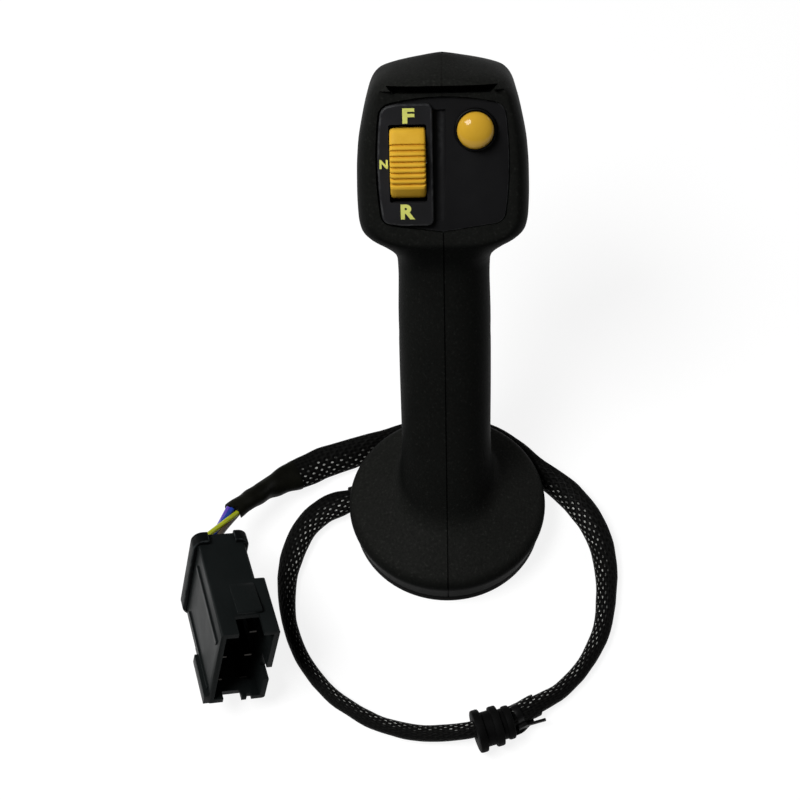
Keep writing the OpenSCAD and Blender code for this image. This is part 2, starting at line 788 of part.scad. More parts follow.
// Route of the braided sleeve: [x, y, z, width, thickness, turn of the width]
cord_route = [
  [-34, 9.5, 5, 9.8, 6.4, 0], [-41.5, 7, 5, 9.8, 6.4, 0], [-48, 4.5, 5, 12.4, 6.4, 0],
  [-55, 1, 4.6, 12, 6.4, 0], [-61.5, -6, 4.2, 11.2, 6.2, 0], [-66, -16, 3.8, 10.6, 6, 0],
  [-68.5, -28, 3.5, 9.2, 6, 0], [-68.5, -39, 3.4, 7.7, 6, 0], [-67, -50.5, 3.3, 6.4, 6, 0],
  [-63.5, -61, 3.3, 6.2, 6, 0], [-58, -71.5, 3.3, 6.2, 6, 0], [-49, -82.5, 3.3, 6.2, 6, 0],
  [-40, -89.5, 3.3, 6.2, 6, 0], [-30.5, -95, 3.4, 6.2, 6, 0], [-20.5, -98.5, 3.7, 6.2, 6, 0],
  [-10.5, -100.5, 4.8, 6.4, 6, 0], [-0.5, -101, 6.4, 6.6, 6, 0], [8, -100.5, 7.9, 6.6, 6, 0],
  [16.5, -98.4, 8.5, 6.4, 6, 0], [25, -94.8, 7.8, 6.8, 6, 0], [34.5, -89, 5, 7.4, 6, 0],
  [43.5, -83.5, 3.7, 6.8, 6, 0], [49, -78.5, 3.5, 6.6, 6, 0], [54, -73, 3.5, 6.6, 6, 0],
  [60.5, -62.5, 3.5, 7, 6, 0], [64.5, -52, 3.6, 7.8, 6, 0], [67, -35, 3.7, 9, 6, 0],
  [67, -24, 4, 10.2, 6, -5], [65.5, -14.5, 4.4, 10.8, 6, -12], [62, -5, 5.2, 11.6, 6, -20],
  [57, 3, 5.8, 12.2, 6, -30], [50, 11, 6.4, 12.4, 6, -45], [41, 19.5, 6.6, 12.4, 6, -70],
  [33, 30, 6.2, 11.4, 6, -85], [22, 38.8, 6.2, 11.4, 6, -90], [9, 43.8, 6.2, 11.4, 6, -90],
  [-5, 44.3, 6.2, 11.4, 6, -90], [-18, 40.8, 6.4, 11.8, 6, -85], [-28.5, 35.5, 6.8, 12.6, 6, -70],
  [-38, 31.5, 6.8, 13.4, 6, -50], [-48, 27.5, 7, 13.8, 6.2, -38], [-55.5, 24.5, 7.4, 14, 6.2, -32],
  [-61.5, 20.5, 8.2, 14, 6.4, -25], [-68, 16.5, 10, 13, 6.6, -20]
];
shrink_route = [
  [-66.5, 17.2, 9.6, 13.6, 8, -20], [-71, 14, 11, 12.2, 8, -18], [-75.5, 10, 13, 10.2, 8, -15],
  [-79.5, 6, 15.2, 9.2, 8, -10], [-83.5, 1.5, 17.6, 8.8, 8, -5], [-87.5, -3, 19.8, 8.4, 7.6, 0],
  [-91.5, -8, 21.8, 8.4, 7.2, 0]
];
grommet_place = [17.4, -98.6, 8.5];
grommet_heading = 17;

module cord() {
  color("#171717") sleeve_along(cord_route, 1, 10);
}

module at_grommet() {
  translate(grommet_place) rotate([0, 0, grommet_heading]) rotate([0, 90, 0]) children();
}

// Slotted grommet on the sleeve: two deep discs, a smaller one, and the grooves between them
module slot_grommet() {
  half = grommet_len / 2;
  first = grommet_d / 2;
  second = first - 0.5;
  third = first - 1.8;
  color("#141414") at_grommet() difference() {
    rotate_extrude() polygon([
      [0, -half], [first - 1, -half], [first, -half + 0.8], [first, -half + 3], [first - 1.5, -half + 3.4],
      [first - 1.5, -half + 6.7], [second, -half + 7.1], [second, -half + 10], [second - 1.8, -half + 10.5],
      [second - 1.8, -half + 12], [third, -half + 12.4], [third, half - 0.6], [third - 0.6, half], [0, half]
    ]);
    translate([0, 0, -half - 1]) cylinder(h = grommet_len + 2, d = 6);
  }
}

// Cable tie behind the grommet, with its head under the sleeve and its cut tail
tie_place = [25.4, -94.6, 7.7];
tie_heading = 28;
module cord_tie() {
  color("#0f0f10") translate(tie_place) rotate([0, 0, tie_heading]) {
    rotate([0, 90, 0]) difference() {
      cylinder(h = 2.6, d = 8.4);
      translate([0, 0, -1]) cylinder(h = 5, d = 6.9);
    }
    translate([-0.6, -5.8, -3.8]) cube([3.8, 2.4, 3.6]);
    translate([2.6, -5.2, -3.4]) rotate([0, 0, -12]) cube([8.6, 1, 1.2]);
  }
}

// Rings of the sleeve's loose end: [x, y, z, width, thickness]
tail_rings = [
  [23.6, -99, 4.6, 7, 2], [27.5, -98, 4.2, 5.6, 1.8], [31, -96, 3.6, 3.4, 1.4], [33.5, -94.8, 3.2, 1.6, 1]
];

// Loose end of the sleeve's tape, folded out between the grommet and the tie
module sleeve_tail() {
  color("#191919") loft([
    for (p = tail_rings)
      [for (k = [0:9]) [p[0] + p[3] / 2 * cos(36 * k) * 0.35, p[1] + p[3] / 2 * cos(36 * k), p[2] + p[4] / 2 * sin(36 * k)]]
  ]);
}

// Slanted end of the heat shrink, where the wires come out
wire_start = [-91, -7.5, 21.6];

module heat_shrink() {
  color("#2a2a26") difference() {
    sleeve_along(shrink_route, 1, 12);
    translate(wire_start) rotate([0, 0, 20]) translate([-10, -12, -10]) cube([12, 12, 20]);
  }
}

// Where each wire enters the plug's rear: columns across it and rows up it
wire_columns = [-7, 3];
wire_rows = [6.9, 21, 35.1];
wire_holes = [for (row = [2:-1:0], column = wire_columns) [column, wire_rows[row]]];
wire_colours = ["#f0ea2e", "#6a3fd0", "#3f63d8", "#e9d6cf", "#6b4a2c"];
seal_depth = 4;

// Wires, fanned out of the heat shrink and into the plug's rear holes
module plug_wires() {
  for (i = [0:len(wire_colours) - 1]) color(wire_colours[i]) tube_along([
    wire_start + [2.4 * cos(72 * i), 2.2 * sin(72 * i), 1.8 * sin(72 * i)],
    from_plug([wire_holes[i][0] * 0.6 - 1, plug_len + 8, wire_holes[i][1] * 0.6 + 10]),
    from_plug([wire_holes[i][0], plug_len + 1.5, wire_holes[i][1]]),
    from_plug([wire_holes[i][0], plug_len - seal_depth, wire_holes[i][1]])
  ], wire_d, 3, 8);
}

// ---------------------------------------------------------------- plug

plug_half = plug_w / 2;
body_right = plug_half - 4;
mouth_depth = shroud_len - 4.5;
tongue_left = -3.7;
tongue_right = 6.3;
tongue_front = 9;
collar_t = 5.5;
collar_grow = 1.9;
hole_d = 4.6;
blade_w = 2.8;
blade_t = 0.8;

// Slab of a flat outline across the plug, from y = from to y = to
module plug_slab(from, to) {
  translate([0, to, 0]) rotate([90, 0, 0]) linear_extrude(to - from) children();
}

// Rectangle with rounded corners between two corners
module rounded(low, high, r) {
  offset(r = r) translate(low + [r, r]) square(high - low - [2 * r, 2 * r]);
}

module at_wire_holes() {
  for (x = wire_columns, z = wire_rows) translate([x, 0, z]) children();
}

// Shroud with its open mouth, the narrower rear body, and the keyed cut-outs round the mouth
module plug_housing() {
  color("#2b2d2e") in_plug() difference() {
    union() {
      plug_slab(0, shroud_len) rounded([-plug_half, 0], [plug_half, plug_h], 1.2);
      plug_slab(shroud_len - 1, plug_len) rounded([-plug_half, 0.6], [body_right, plug_h - 0.2], 1);
      translate([-plug_half - 0.7, 3, 5]) cube([1, plug_len - 13, 2]);
      translate([-plug_half - 0.7, 3, plug_h - 9]) cube([1, plug_len - 13, 2]);
      translate([-plug_half - 2, 0, 0.4]) cube([3, 21, 4.6]);
    }
    plug_slab(-1, mouth_depth) translate([-plug_half + plug_wall, plug_wall])
      square([plug_w - 2 * plug_wall, plug_h - 2 * plug_wall]);
    translate([tongue_left - 1, -1, plug_h - plug_wall - 1]) cube([tongue_right - tongue_left, tongue_front + 1, 5]);
    translate([-5.5, -1, -1]) cube([7.5, 4.5, 5]);
    translate([4, -1, -1]) cube([2, 2.5, 5]);
    translate([plug_half - plug_wall - 1, -1, 12]) cube([5, 8, 7.5]);
    at_wire_holes() {
      translate([0, plug_len - 8, 0]) rotate([-90, 0, 0]) cylinder(h = 10, d = hole_d);
      translate([-blade_w / 2 - 0.1, mouth_depth - 2, -blade_t / 2 - 0.1])
        cube([blade_w + 0.2, plug_len - mouth_depth, blade_t + 0.2]);
    }
  }
}

// Rear collar round the wire end, open at the top between two curled ears
module plug_rear_collar() {
  color("#232526") in_plug() difference() {
    plug_slab(plug_len - collar_t, plug_len) rounded(
      [-plug_half - collar_grow, -0.4], [body_right + collar_grow, plug_h + collar_grow], 4.4);
    plug_slab(plug_len - collar_t - 1, plug_len + 1) rounded([-plug_half, 0.6], [body_right, plug_h - 0.2], 1);
    translate([-7, plug_len - collar_t - 1, plug_h - 2]) cube([10.4, collar_t + 2, 8]);
  }
}

// Lock wedge on top of the shroud, rising towards the mouth
module plug_lock_wedge() {
  color("#303233") in_plug() translate([tongue_left, 0, plug_h]) rotate([90, 0, 90])
    linear_extrude(tongue_right - tongue_left) polygon([
      [tongue_front + 0.2, 0], [shroud_len - 2, 0], [shroud_len - 4, 0.4], [tongue_front + 1, 1.8],
      [tongue_front + 0.2, 1.2]
    ]);
}

module plug_pins() {
  color("#b8b4a8") in_plug() at_wire_holes()
    translate([-blade_w / 2, 6, -blade_t / 2]) cube([blade_w, plug_len - seal_depth - 6, blade_t]);
}

module plug_seal() {
  color("#7b2f22") in_plug() at_wire_holes() rotate([-90, 0, 0]) difference() {
    translate([0, 0, plug_len - seal_depth]) cylinder(h = seal_depth - 0.5, d = hole_d);
    translate([0, 0, plug_len - seal_depth - 1]) cylinder(h = seal_depth + 2, d = wire_d);
  }
}

left_shell();
right_shell();
base_ring();
ring_screws();
lever_socket();
set_screws();
shell_screws();
cross_bolt();
cross_nut();
control_panel();
rocker_bezel();
direction_rocker();
rocker_pin();
detent_plunger();
detent_cam();
rocker_switch_body();
rocker_terminals();
button_cap();
button_stem();
button_spring();
button_collar();
button_washer();
button_nut();
button_switch_body();
button_terminals();
main_leads();
rocker_leads();
button_leads();
exit_grommet();
cord();
slot_grommet();
cord_tie();
sleeve_tail();
heat_shrink();
plug_wires();
plug_housing();
plug_rear_collar();
plug_lock_wedge();
plug_pins();
plug_seal();
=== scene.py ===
"""Looks of a hand-grip joystick: moulded grip, direction rocker, push button and sleeved harness.

Lengths inside the classes are millimetres on the piece's own axes. A finished mesh is brought to
metres, in the part's frame, so that every object sits at the origin.
"""

import json
import logging
import math
from dataclasses import dataclass, field
from enum import Enum
from typing import Callable, Iterable, Optional, Sequence

import bmesh
import bpy
from mathutils import Matrix, Vector, noise


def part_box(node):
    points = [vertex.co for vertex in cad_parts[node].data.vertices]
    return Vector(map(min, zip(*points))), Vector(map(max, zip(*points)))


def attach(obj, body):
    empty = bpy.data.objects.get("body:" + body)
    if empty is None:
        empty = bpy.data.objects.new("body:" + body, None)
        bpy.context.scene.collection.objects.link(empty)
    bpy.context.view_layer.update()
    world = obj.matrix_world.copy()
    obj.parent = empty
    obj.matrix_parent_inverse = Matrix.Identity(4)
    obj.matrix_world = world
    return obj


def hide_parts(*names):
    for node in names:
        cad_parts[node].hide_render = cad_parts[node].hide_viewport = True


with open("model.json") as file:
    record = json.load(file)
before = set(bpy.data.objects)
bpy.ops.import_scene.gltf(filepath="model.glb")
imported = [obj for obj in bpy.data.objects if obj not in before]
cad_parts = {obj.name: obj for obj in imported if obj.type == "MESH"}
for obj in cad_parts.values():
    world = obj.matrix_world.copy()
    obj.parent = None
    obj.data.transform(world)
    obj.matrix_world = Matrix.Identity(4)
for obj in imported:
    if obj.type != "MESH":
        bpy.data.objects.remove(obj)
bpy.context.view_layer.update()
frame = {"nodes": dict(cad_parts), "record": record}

LOG = logging.getLogger("joystick")
MM = 0.001
SHARP = 38.0
SLEEVE_SHARP = 60.0
BUTTON_AT = (12.1, 12.9)
WIRE_START = (-91, -7.5, 21.6)
PANEL_CORNER = 3.4
# Painted shade: the near-black colour of the grip's seam groove.
SEAM_SHADE_COLOUR = "#020202"
# Pale tone on faces that look up: partly dust, partly painted sheen.
DUST_AND_SHEEN_COLOUR = "#8a8a84"
Point = tuple[float, ...]
Colour = tuple[float, float, float, float]


class Body(Enum):
    """Moving bodies of the part."""

    HANDLE = "handle"
    ROCKER = "rocker"
    BUTTON = "button"


class Half(Enum):
    """Half of the moulded grip, with the sign of its side."""

    LEFT = -1
    RIGHT = 1


class Light(Enum):
    """Studio lamps."""

    KEY = "key_light"
    FILL = "fill_light"
    REAR = "rear_light"


def srgb(code: str) -> Colour:
    """Turn a hex code into a linear colour.

    Args:
        code: Six hex digits, with or without a leading sign.

    Returns:
        Linear red, green, blue and an alpha of one.
    """
    digits = code.lstrip("#")
    values = [int(digits[i : i + 2], 16) / 255 for i in (0, 2, 4)]
    linear = [v / 12.92 if v <= 0.04045 else ((v + 0.055) / 1.055) ** 2.4 for v in values]
    return (linear[0], linear[1], linear[2], 1.0)


def joint(name: str) -> dict:
    """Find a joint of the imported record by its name."""
    return next(j for j in frame["record"]["behaviour"]["joints"] if j["name"] == name)


def mount(name: str) -> dict:
    """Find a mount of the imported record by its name."""
    return next(m for m in frame["record"]["mounts"] if m["name"] == name)


def centre_of(node: str) -> Vector:
    """Middle of a node's box, in millimetres."""
    low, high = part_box(node)
    return (Vector(low) + Vector(high)) / (2 * MM)


# ------------------------------------------------------------------ where things are


@dataclass(frozen=True)
class Places:
    """Frames of the sub-assemblies, worked out from the record's mounts and joints."""

    rocker_at: Point = (-12.7, 1.1, -4.0)
    mouth_along: float = -6.0

    def handle(self) -> Matrix:
        """Frame of the handle: z up the lever bore's axis, y to the back, at the axis' foot."""
        bore = mount("lever_bore")
        up = -Vector(bore["axis"]).normalized()
        back = Vector((1, 0, 0)).cross(up) * -1
        foot = Vector(bore["pos_m"]) / MM - up * self.mouth_along
        turn = Matrix((Vector((1, 0, 0)), back, up)).transposed().to_4x4()
        return Matrix.Translation(foot) @ turn

    def panel(self) -> Matrix:
        """Frame of the panel's face: x right, y up the face, z out of it."""
        out = -Vector(joint("button_press")["axis"]).normalized()
        right = Vector((1, 0, 0))
        up = out.cross(right)
        pivot = Vector(joint("rocker_turn")["pos_m"]) / MM
        u, v, n = self.rocker_at
        origin = pivot - right * u - up * v - out * n
        return Matrix.Translation(origin) @ Matrix((right, up, out)).transposed().to_4x4()


# ------------------------------------------------------------------ mesh helpers


def ring_edges(bm: bmesh.types.BMesh, ring: Sequence[bmesh.types.BMVert]) -> list[bmesh.types.BMEdge]:
    """Edges of a closed ring of vertices, in order."""
    return [bm.edges.get((ring[i - 1], ring[i])) for i in range(len(ring))]


def loft(rings: Sequence[Sequence[Vector]]) -> tuple[bmesh.types.BMesh, list[list[bmesh.types.BMVert]]]:
    """Extrude a circle's edge from ring to ring, and close the first and last rings.

    Args:
        rings: Rings with equal counts of points.

    Returns:
        The mesh and the vertices of each ring.
    """
    bm = bmesh.new()
    count = len(rings[0])
    ring = list(bmesh.ops.create_circle(bm, cap_ends=False, radius=1.0, segments=count)["verts"])
    for vert, place in zip(ring, rings[0]):
        vert.co = place
    made = [ring]
    for places in rings[1:]:
        geom = bmesh.ops.extrude_edge_only(bm, edges=ring_edges(bm, ring))["geom"]
        fresh = {v for v in geom if isinstance(v, bmesh.types.BMVert)}
        ring = [next(e.other_vert(v) for e in v.link_edges if e.other_vert(v) in fresh) for v in ring]
        for vert, place in zip(ring, places):
            vert.co = place
        made.append(ring)
    for end in (made[0], made[-1]):
        bmesh.ops.contextual_create(bm, geom=ring_edges(bm, end))
    bmesh.ops.recalc_face_normals(bm, faces=bm.faces)
    return bm, made


def flat(outline: Sequence[Point], height: float = 0.0) -> bmesh.types.BMesh:
    """Make one face with an outline.

    Args:
        outline: Points of the outline, in order.
        height: Height of the face.

    Returns:
        The mesh.
    """
    bm = bmesh.new()
    circle = bmesh.ops.create_circle(bm, cap_ends=True, radius=1.0, segments=len(outline))
    for vert, place in zip(list(circle["verts"]), outline):
        vert.co = (place[0], place[1], height)
    return bm


def round_corners(bm: bmesh.types.BMesh, radius: float, least: float) -> None:
    """Round the corners of a flat outline that turn by more than an angle, in radians."""
    sharp = [v for v in bm.verts if v.calc_edge_angle(0.0) > least]
    bmesh.ops.bevel(
        bm, geom=sharp, offset=radius, offset_type="OFFSET", segments=6, profile=0.5,
        affect="VERTICES", material=-1, clamp_overlap=True)


def sliced(bm: bmesh.types.BMesh, point: Point, away: Point, clear: bool = False) -> None:
    """Cut a mesh along a plane.

    Args:
        bm: The mesh.
        point: Point of the plane.
        away: Normal of the plane.
        clear: Whether what lies on the normal's side goes.
    """
    bmesh.ops.bisect_plane(
        bm, geom=bm.verts[:] + bm.edges[:] + bm.faces[:], dist=1e-5, plane_co=point, plane_no=away,
        clear_outer=clear)


def slab(outline: Sequence[Point], low: float, high: float, corner: float = 0.0) -> bmesh.types.BMesh:
    """Extrude a flat outline from z = low to z = high.

    Args:
        outline: Points of the outline, in order.
        low: Lower face.
        high: Upper face.
        corner: Radius of the outline's own corners, none when zero.

    Returns:
        The closed mesh.
    """
    bm = flat(outline, low)
    if corner:
        round_corners(bm, corner, 0.35)
    lift(bm, high - low)
    return bm


def lift(bm: bmesh.types.BMesh, height: float) -> None:
    """Extrude all faces of a flat mesh along z, and close it."""
    made = bmesh.ops.extrude_face_region(bm, geom=bm.faces[:])["geom"]
    raised = [v for v in made if isinstance(v, bmesh.types.BMVert)]
    bmesh.ops.translate(bm, vec=(0, 0, height), verts=raised)
    bmesh.ops.recalc_face_normals(bm, faces=bm.faces)


def soften(bm: bmesh.types.BMesh, width: float, angle: float = 32.0, segments: int = 2,
           pick: Optional[Callable[[bmesh.types.BMEdge], bool]] = None) -> None:
    """Round the sharp edges of a mesh.

    Args:
        bm: The mesh.
        width: Offset of the round.
        angle: Least angle of a sharp edge, in degrees.
        segments: Faces across the round.
        pick: Extra test that an edge passes.
    """
    least = math.radians(angle)
    sharp = [e for e in bm.edges if len(e.link_faces) == 2 and e.calc_face_angle(0.0) > least
             and (pick is None or pick(e))]
    edge = bm.loops.layers.float.get("edge") or bm.loops.layers.float.new("edge")
    rounds = bmesh.ops.bevel(
        bm, geom=sharp, offset=width, offset_type="OFFSET", segments=segments, profile=0.5,
        affect="EDGES", material=-1, clamp_overlap=True)["faces"]
    for face in rounds:
        for loop in face.loops:
            loop[edge] = 1.0


def turned(profile: Sequence[Point], steps: int = 64) -> bmesh.types.BMesh:
    """Spin a profile of [radius, z] round the z axis.

    Args:
        profile: Points from the axis to the axis.
        steps: Steps of the spin.

    Returns:
        The closed mesh.
    """
    bm = bmesh.new()
    verts = [bm.verts.new((r, 0, z)) for r, z in profile]
    edges = [bm.edges.new(pair) for pair in zip(verts, verts[1:])]
    bmesh.ops.spin(
        bm, geom=verts + edges, axis=(0, 0, 1), cent=(0, 0, 0), dvec=(0, 0, 0), angle=math.tau,
        steps=steps, use_merge=True, use_duplicate=False)
    bmesh.ops.remove_doubles(bm, verts=bm.verts, dist=1e-4)
    bmesh.ops.recalc_face_normals(bm, faces=bm.faces)
    return bm


def shade(mesh: bpy.types.Mesh, sharp: float) -> None:
    """Shade a mesh smooth up to an angle, in degrees."""
    mesh.polygons.foreach_set("use_smooth", [True] * len(mesh.polygons))
    mesh.set_sharp_from_angle(angle=math.radians(sharp))


def placed(bm: bmesh.types.BMesh, name: str, at: Matrix = Matrix.Identity(4),
           sharp: float = SHARP) -> bpy.types.Object:
    """Bring a mesh from millimetres on its own axes to metres in the part's frame.

    Args:
        bm: The mesh, which is freed.
        name: Name of the piece.
        at: Frame of the piece.
        sharp: Angle above which an edge is shaded sharp, in degrees.

    Returns:
        The new object, at the origin.
    """
    bmesh.ops.transform(bm, matrix=Matrix.Scale(MM, 4) @ at, verts=bm.verts)
    mesh = bpy.data.meshes.new(name)
    bm.to_mesh(mesh)
    bm.free()
    shade(mesh, sharp)
    obj = bpy.data.objects.new(name, mesh)
    bpy.context.scene.collection.objects.link(obj)
    return obj


def applied(obj: bpy.types.Object) -> None:
    """Apply an object's modifiers to its mesh."""
    graph = bpy.context.evaluated_depsgraph_get()
    mesh = bpy.data.meshes.new_from_object(obj.evaluated_get(graph))
    obj.modifiers.clear()
    obj.data = mesh
    shade(mesh, SHARP)


def carve(obj: bpy.types.Object, cutters: Iterable[bpy.types.Object]) -> None:
    """Cut solids out of an object one by one, and remove them.

    Args:
        obj: The object that is cut.
        cutters: The solids.
    """
    for cutter in cutters:
        cut = obj.modifiers.new("cut", "BOOLEAN")
        cut.operation, cut.solver, cut.object = "DIFFERENCE", "EXACT", cutter
        bpy.context.view_layer.update()
        applied(obj)
        bpy.data.objects.remove(cutter)
        clean(obj)


def clean(obj: bpy.types.Object, least: float = 1e-6) -> None:
    """Merge the slivers that a cut leaves, so that the next cut starts from a closed mesh.

    An exact cut of a mesh that isn't closed comes out differently from run to run.

    Args:
        obj: The object that was cut.
        least: Length, in metres, under which an edge is merged away.

    Raises:
        RuntimeError: If the mesh is left open.
    """
    bm = bmesh.new()
    bm.from_mesh(obj.data)
    bmesh.ops.remove_doubles(bm, verts=bm.verts, dist=least)
    bmesh.ops.dissolve_degenerate(bm, dist=least, edges=bm.edges)
    opened = sum(len(e.link_faces) != 2 for e in bm.edges)
    bm.to_mesh(obj.data)
    bm.free()
    if opened:
        raise RuntimeError(f"{obj.name}: a cut left {opened} open edges")


def block(size: Point, name: str, at: Matrix) -> bpy.types.Object:
    """Box that cuts, with its sizes in millimetres, about a frame's origin."""
    bm = bmesh.new()
    bmesh.ops.create_cube(bm, size=1)
    bmesh.ops.scale(bm, vec=size, verts=bm.verts)
    return placed(bm, name, at)


def weigh(obj: bpy.types.Object) -> None:
    """Let large faces lead the shading of a cut mesh."""
    even = obj.modifiers.new("even", "WEIGHTED_NORMAL")
    even.keep_sharp = True


# ------------------------------------------------------------------ finishes


def node_group(name: str, inputs: Sequence[tuple[str, str, object]],
               outputs: Sequence[tuple[str, str]]) -> bpy.types.NodeTree:
    """Start a shader node group with named sockets.

    Args:
        name: Name of the group.
        inputs: Name, socket type and default of each input.
        outputs: Name and socket type of each output.

    Returns:
        The group, with its input and output nodes.
    """
    tree = bpy.data.node_groups.new(name, "ShaderNodeTree")
    for label, kind, value in inputs:
        socket = tree.interface.new_socket(name=label, in_out="INPUT", socket_type=kind)
        if value is not None:
            socket.default_value = value
    for label, kind in outputs:
        tree.interface.new_socket(name=label, in_out="OUTPUT", socket_type=kind)
    tree.nodes.new("NodeGroupInput").name = "in"
    tree.nodes.new("NodeGroupOutput").name = "out"
    return tree


@dataclass
class Wiring:
    """Short hand for placing and linking shader nodes."""

    tree: bpy.types.NodeTree

    def add(self, kind: str, settings: Optional[dict] = None, **sockets: object) -> bpy.types.Node:
        """Add a node.

        Args:
            kind: Type of the node.
            settings: Properties of the node.
            sockets: Name of an input, or n and its number, and a value or a socket.

        Returns:
            The node.
        """
        node = self.tree.nodes.new(kind)
        for key, value in (settings or {}).items():
            setattr(node, key, value)
        for key, value in sockets.items():
            numbered = key[:1] == "n" and key[1:].isdigit()
            self.put(node.inputs[int(key[1:]) if numbered else key], value)
        return node

    def put(self, socket: bpy.types.NodeSocket, value: object) -> None:
        """Link a socket to another, or set its value."""
        if isinstance(value, bpy.types.NodeSocket):
            self.tree.links.new(value, socket)
        else:
            socket.default_value = value

    def math(self, kind: str, a: object, b: object = 0.0, c: object = 0.0) -> bpy.types.NodeSocket:
        """Result of a math node."""
        return self.add("ShaderNodeMath", {"operation": kind}, n0=a, n1=b, n2=c).outputs[0]

    def remap(self, value: object, low: float, high: float, to_low: float = 0.0,
              to_high: float = 1.0) -> bpy.types.NodeSocket:
        """Value brought from one range to another, and held inside it."""
        node = self.add("ShaderNodeMapRange", None, n0=value, n1=low, n2=high, n3=to_low, n4=to_high)
        return node.outputs[0]

    def noise(self, place: object, scale: object, **settings: float) -> bpy.types.NodeSocket:
        """Factor of a noise texture."""
        return self.add("ShaderNodeTexNoise", None, Vector=place, Scale=scale, **settings).outputs["Fac"]


def grain_group() -> bpy.types.NodeTree:
    """Moulded grain: a fine height, a broad blotch and small specks."""
    tree = node_group(
        "moulded_grain",
        [("Vector", "NodeSocketVector", None), ("Grain", "NodeSocketFloat", 0.0004),
         ("Blotch", "NodeSocketFloat", 0.02)],
        [("Height", "NodeSocketFloat"), ("Blotch", "NodeSocketFloat"), ("Speck", "NodeSocketFloat")])
    w = Wiring(tree)
    given, out = tree.nodes["in"].outputs, tree.nodes["out"].inputs
    fine = w.math("DIVIDE", 1.0, given["Grain"])
    broad = w.math("DIVIDE", 1.0, given["Blotch"])
    place = given["Vector"]
    cells = w.add("ShaderNodeTexVoronoi", {"feature": "SMOOTH_F1"}, Vector=place, Scale=fine, Smoothness=0.6)
    soft = w.noise(place, fine, Detail=3.0, Roughness=0.6)
    large = w.noise(place, broad, Detail=4.0, Roughness=0.55)
    tiny = w.noise(place, w.math("MULTIPLY", fine, 0.45), Detail=2.0)
    height = w.math("MULTIPLY_ADD", cells.outputs["Distance"], 0.5, w.math("MULTIPLY", soft, 0.6))
    w.put(out["Height"], height)
    w.put(out["Blotch"], w.remap(large, 0.32, 0.68))
    w.put(out["Speck"], w.remap(tiny, 0.62, 0.74))
    return tree


def wear_and_painted_light_group() -> bpy.types.NodeTree:
    """Edge wear and painted light: a wear mask on the rounded edges, broken up by noise, which on the panel
    also paints a highlight on the channel's floor, and a mask of the seam groove, which is painted near black
    as painted shade.
    """
    tree = node_group(
        "edge_wear_and_painted_light", [("Vector", "NodeSocketVector", None), ("Amount", "NodeSocketFloat", 0.3)],
        [("Mask", "NodeSocketFloat"), ("Seam Shade", "NodeSocketFloat")])
    w = Wiring(tree)
    given = tree.nodes["in"].outputs
    rim = w.add("ShaderNodeAttribute", {"attribute_name": "edge"}).outputs["Fac"]
    broken = w.noise(given["Vector"], 420.0, Detail=4.0)
    mask = w.math("MULTIPLY", w.math("MULTIPLY", rim, w.remap(broken, 0.35, 0.65)), given["Amount"])
    w.put(tree.nodes["out"].inputs["Mask"], w.math("MAXIMUM", mask, 0.0))
    # Painted shade mask: faces marked -1 in the seam groove.
    w.put(tree.nodes["out"].inputs["Seam Shade"], w.remap(rim, 0.0, -1.0))
    return tree


def braid_group() -> bpy.types.NodeTree:
    """Braided sleeve: crossing strands on the sleeve's own map, with painted glints in the spots between
    them.
    """
    tree = node_group(
        "flat_braid",
        [("UV", "NodeSocketVector", None), ("Around", "NodeSocketFloat", 12.0),
         ("Along", "NodeSocketFloat", 450.0)],
        [("Height", "NodeSocketFloat"), ("Fleck", "NodeSocketFloat"), ("Strand", "NodeSocketFloat")])
    w = Wiring(tree)
    given, out = tree.nodes["in"].outputs, tree.nodes["out"].inputs
    uv = w.add("ShaderNodeSeparateXYZ", None, n0=given["UV"]).outputs
    around = w.math("MULTIPLY", uv["X"], given["Around"])
    along = w.math("MULTIPLY", uv["Y"], given["Along"])
    one = w.math("SINE", w.math("MULTIPLY", w.math("ADD", around, along), math.tau))
    two = w.math("SINE", w.math("MULTIPLY", w.math("SUBTRACT", around, along), math.tau))
    top = w.math("SMOOTH_MAX", one, two, 0.35)
    w.put(out["Height"], w.remap(top, -0.9, 1.0))
    # The spots between the strands, in rows round the sleeve, are where painted glints go.
    under = w.math("MULTIPLY", w.math("SUBTRACT", -0.1, one), w.math("SUBTRACT", -0.1, two))
    eye = w.remap(under, 0.1, 0.4)
    eye = w.math("MULTIPLY", eye, w.math("LESS_THAN", one, -0.1))
    rows = w.math("COSINE", w.math("MULTIPLY", w.math("SUBTRACT", around, 0.25), 2 * math.tau))
    eye = w.math("MULTIPLY", eye, w.remap(rows, -0.1, 0.6))
    w.put(out["Fleck"], eye)
    w.put(out["Strand"], w.remap(w.math("MULTIPLY", one, two), -1.0, 1.0))
    return tree


def dust_and_sheen_group() -> bpy.types.NodeTree:
    """Dust and painted sheen: a faint pale mask on faces that look up, partly settled dust and partly the
    sheen of the light from above painted in.
    """
    tree = node_group(
        "settled_dust_and_sheen", [("Vector", "NodeSocketVector", None), ("Amount", "NodeSocketFloat", 0.1)],
        [("Mask", "NodeSocketFloat")])
    w = Wiring(tree)
    given = tree.nodes["in"].outputs
    normal = w.add("ShaderNodeNewGeometry").outputs["Normal"]
    up = w.add("ShaderNodeSeparateXYZ", None, n0=normal).outputs["Z"]
    dust_sheen = w.noise(given["Vector"], 900.0, Detail=6.0, Roughness=0.7)
    mask = w.math("MULTIPLY", w.remap(up, 0.1, 0.95), w.remap(dust_sheen, 0.3, 0.75, 0.3, 1.0))
    w.put(tree.nodes["out"].inputs["Mask"], w.math("MULTIPLY", mask, given["Amount"]))
    return tree


GROUPS: dict[str, bpy.types.NodeTree] = {}
BUILT: dict[str, bpy.types.Material] = {}


def effect(w: Wiring, make: Callable[[], bpy.types.NodeTree], **sockets: object) -> bpy.types.Node:
    """Place a shared effect in a material, building its group the first time."""
    name = make.__name__
    if name not in GROUPS:
        GROUPS[name] = make()
    node = w.add("ShaderNodeGroup", {"node_tree": GROUPS[name]})
    for key, value in sockets.items():
        w.put(node.inputs[key], value)
    return node


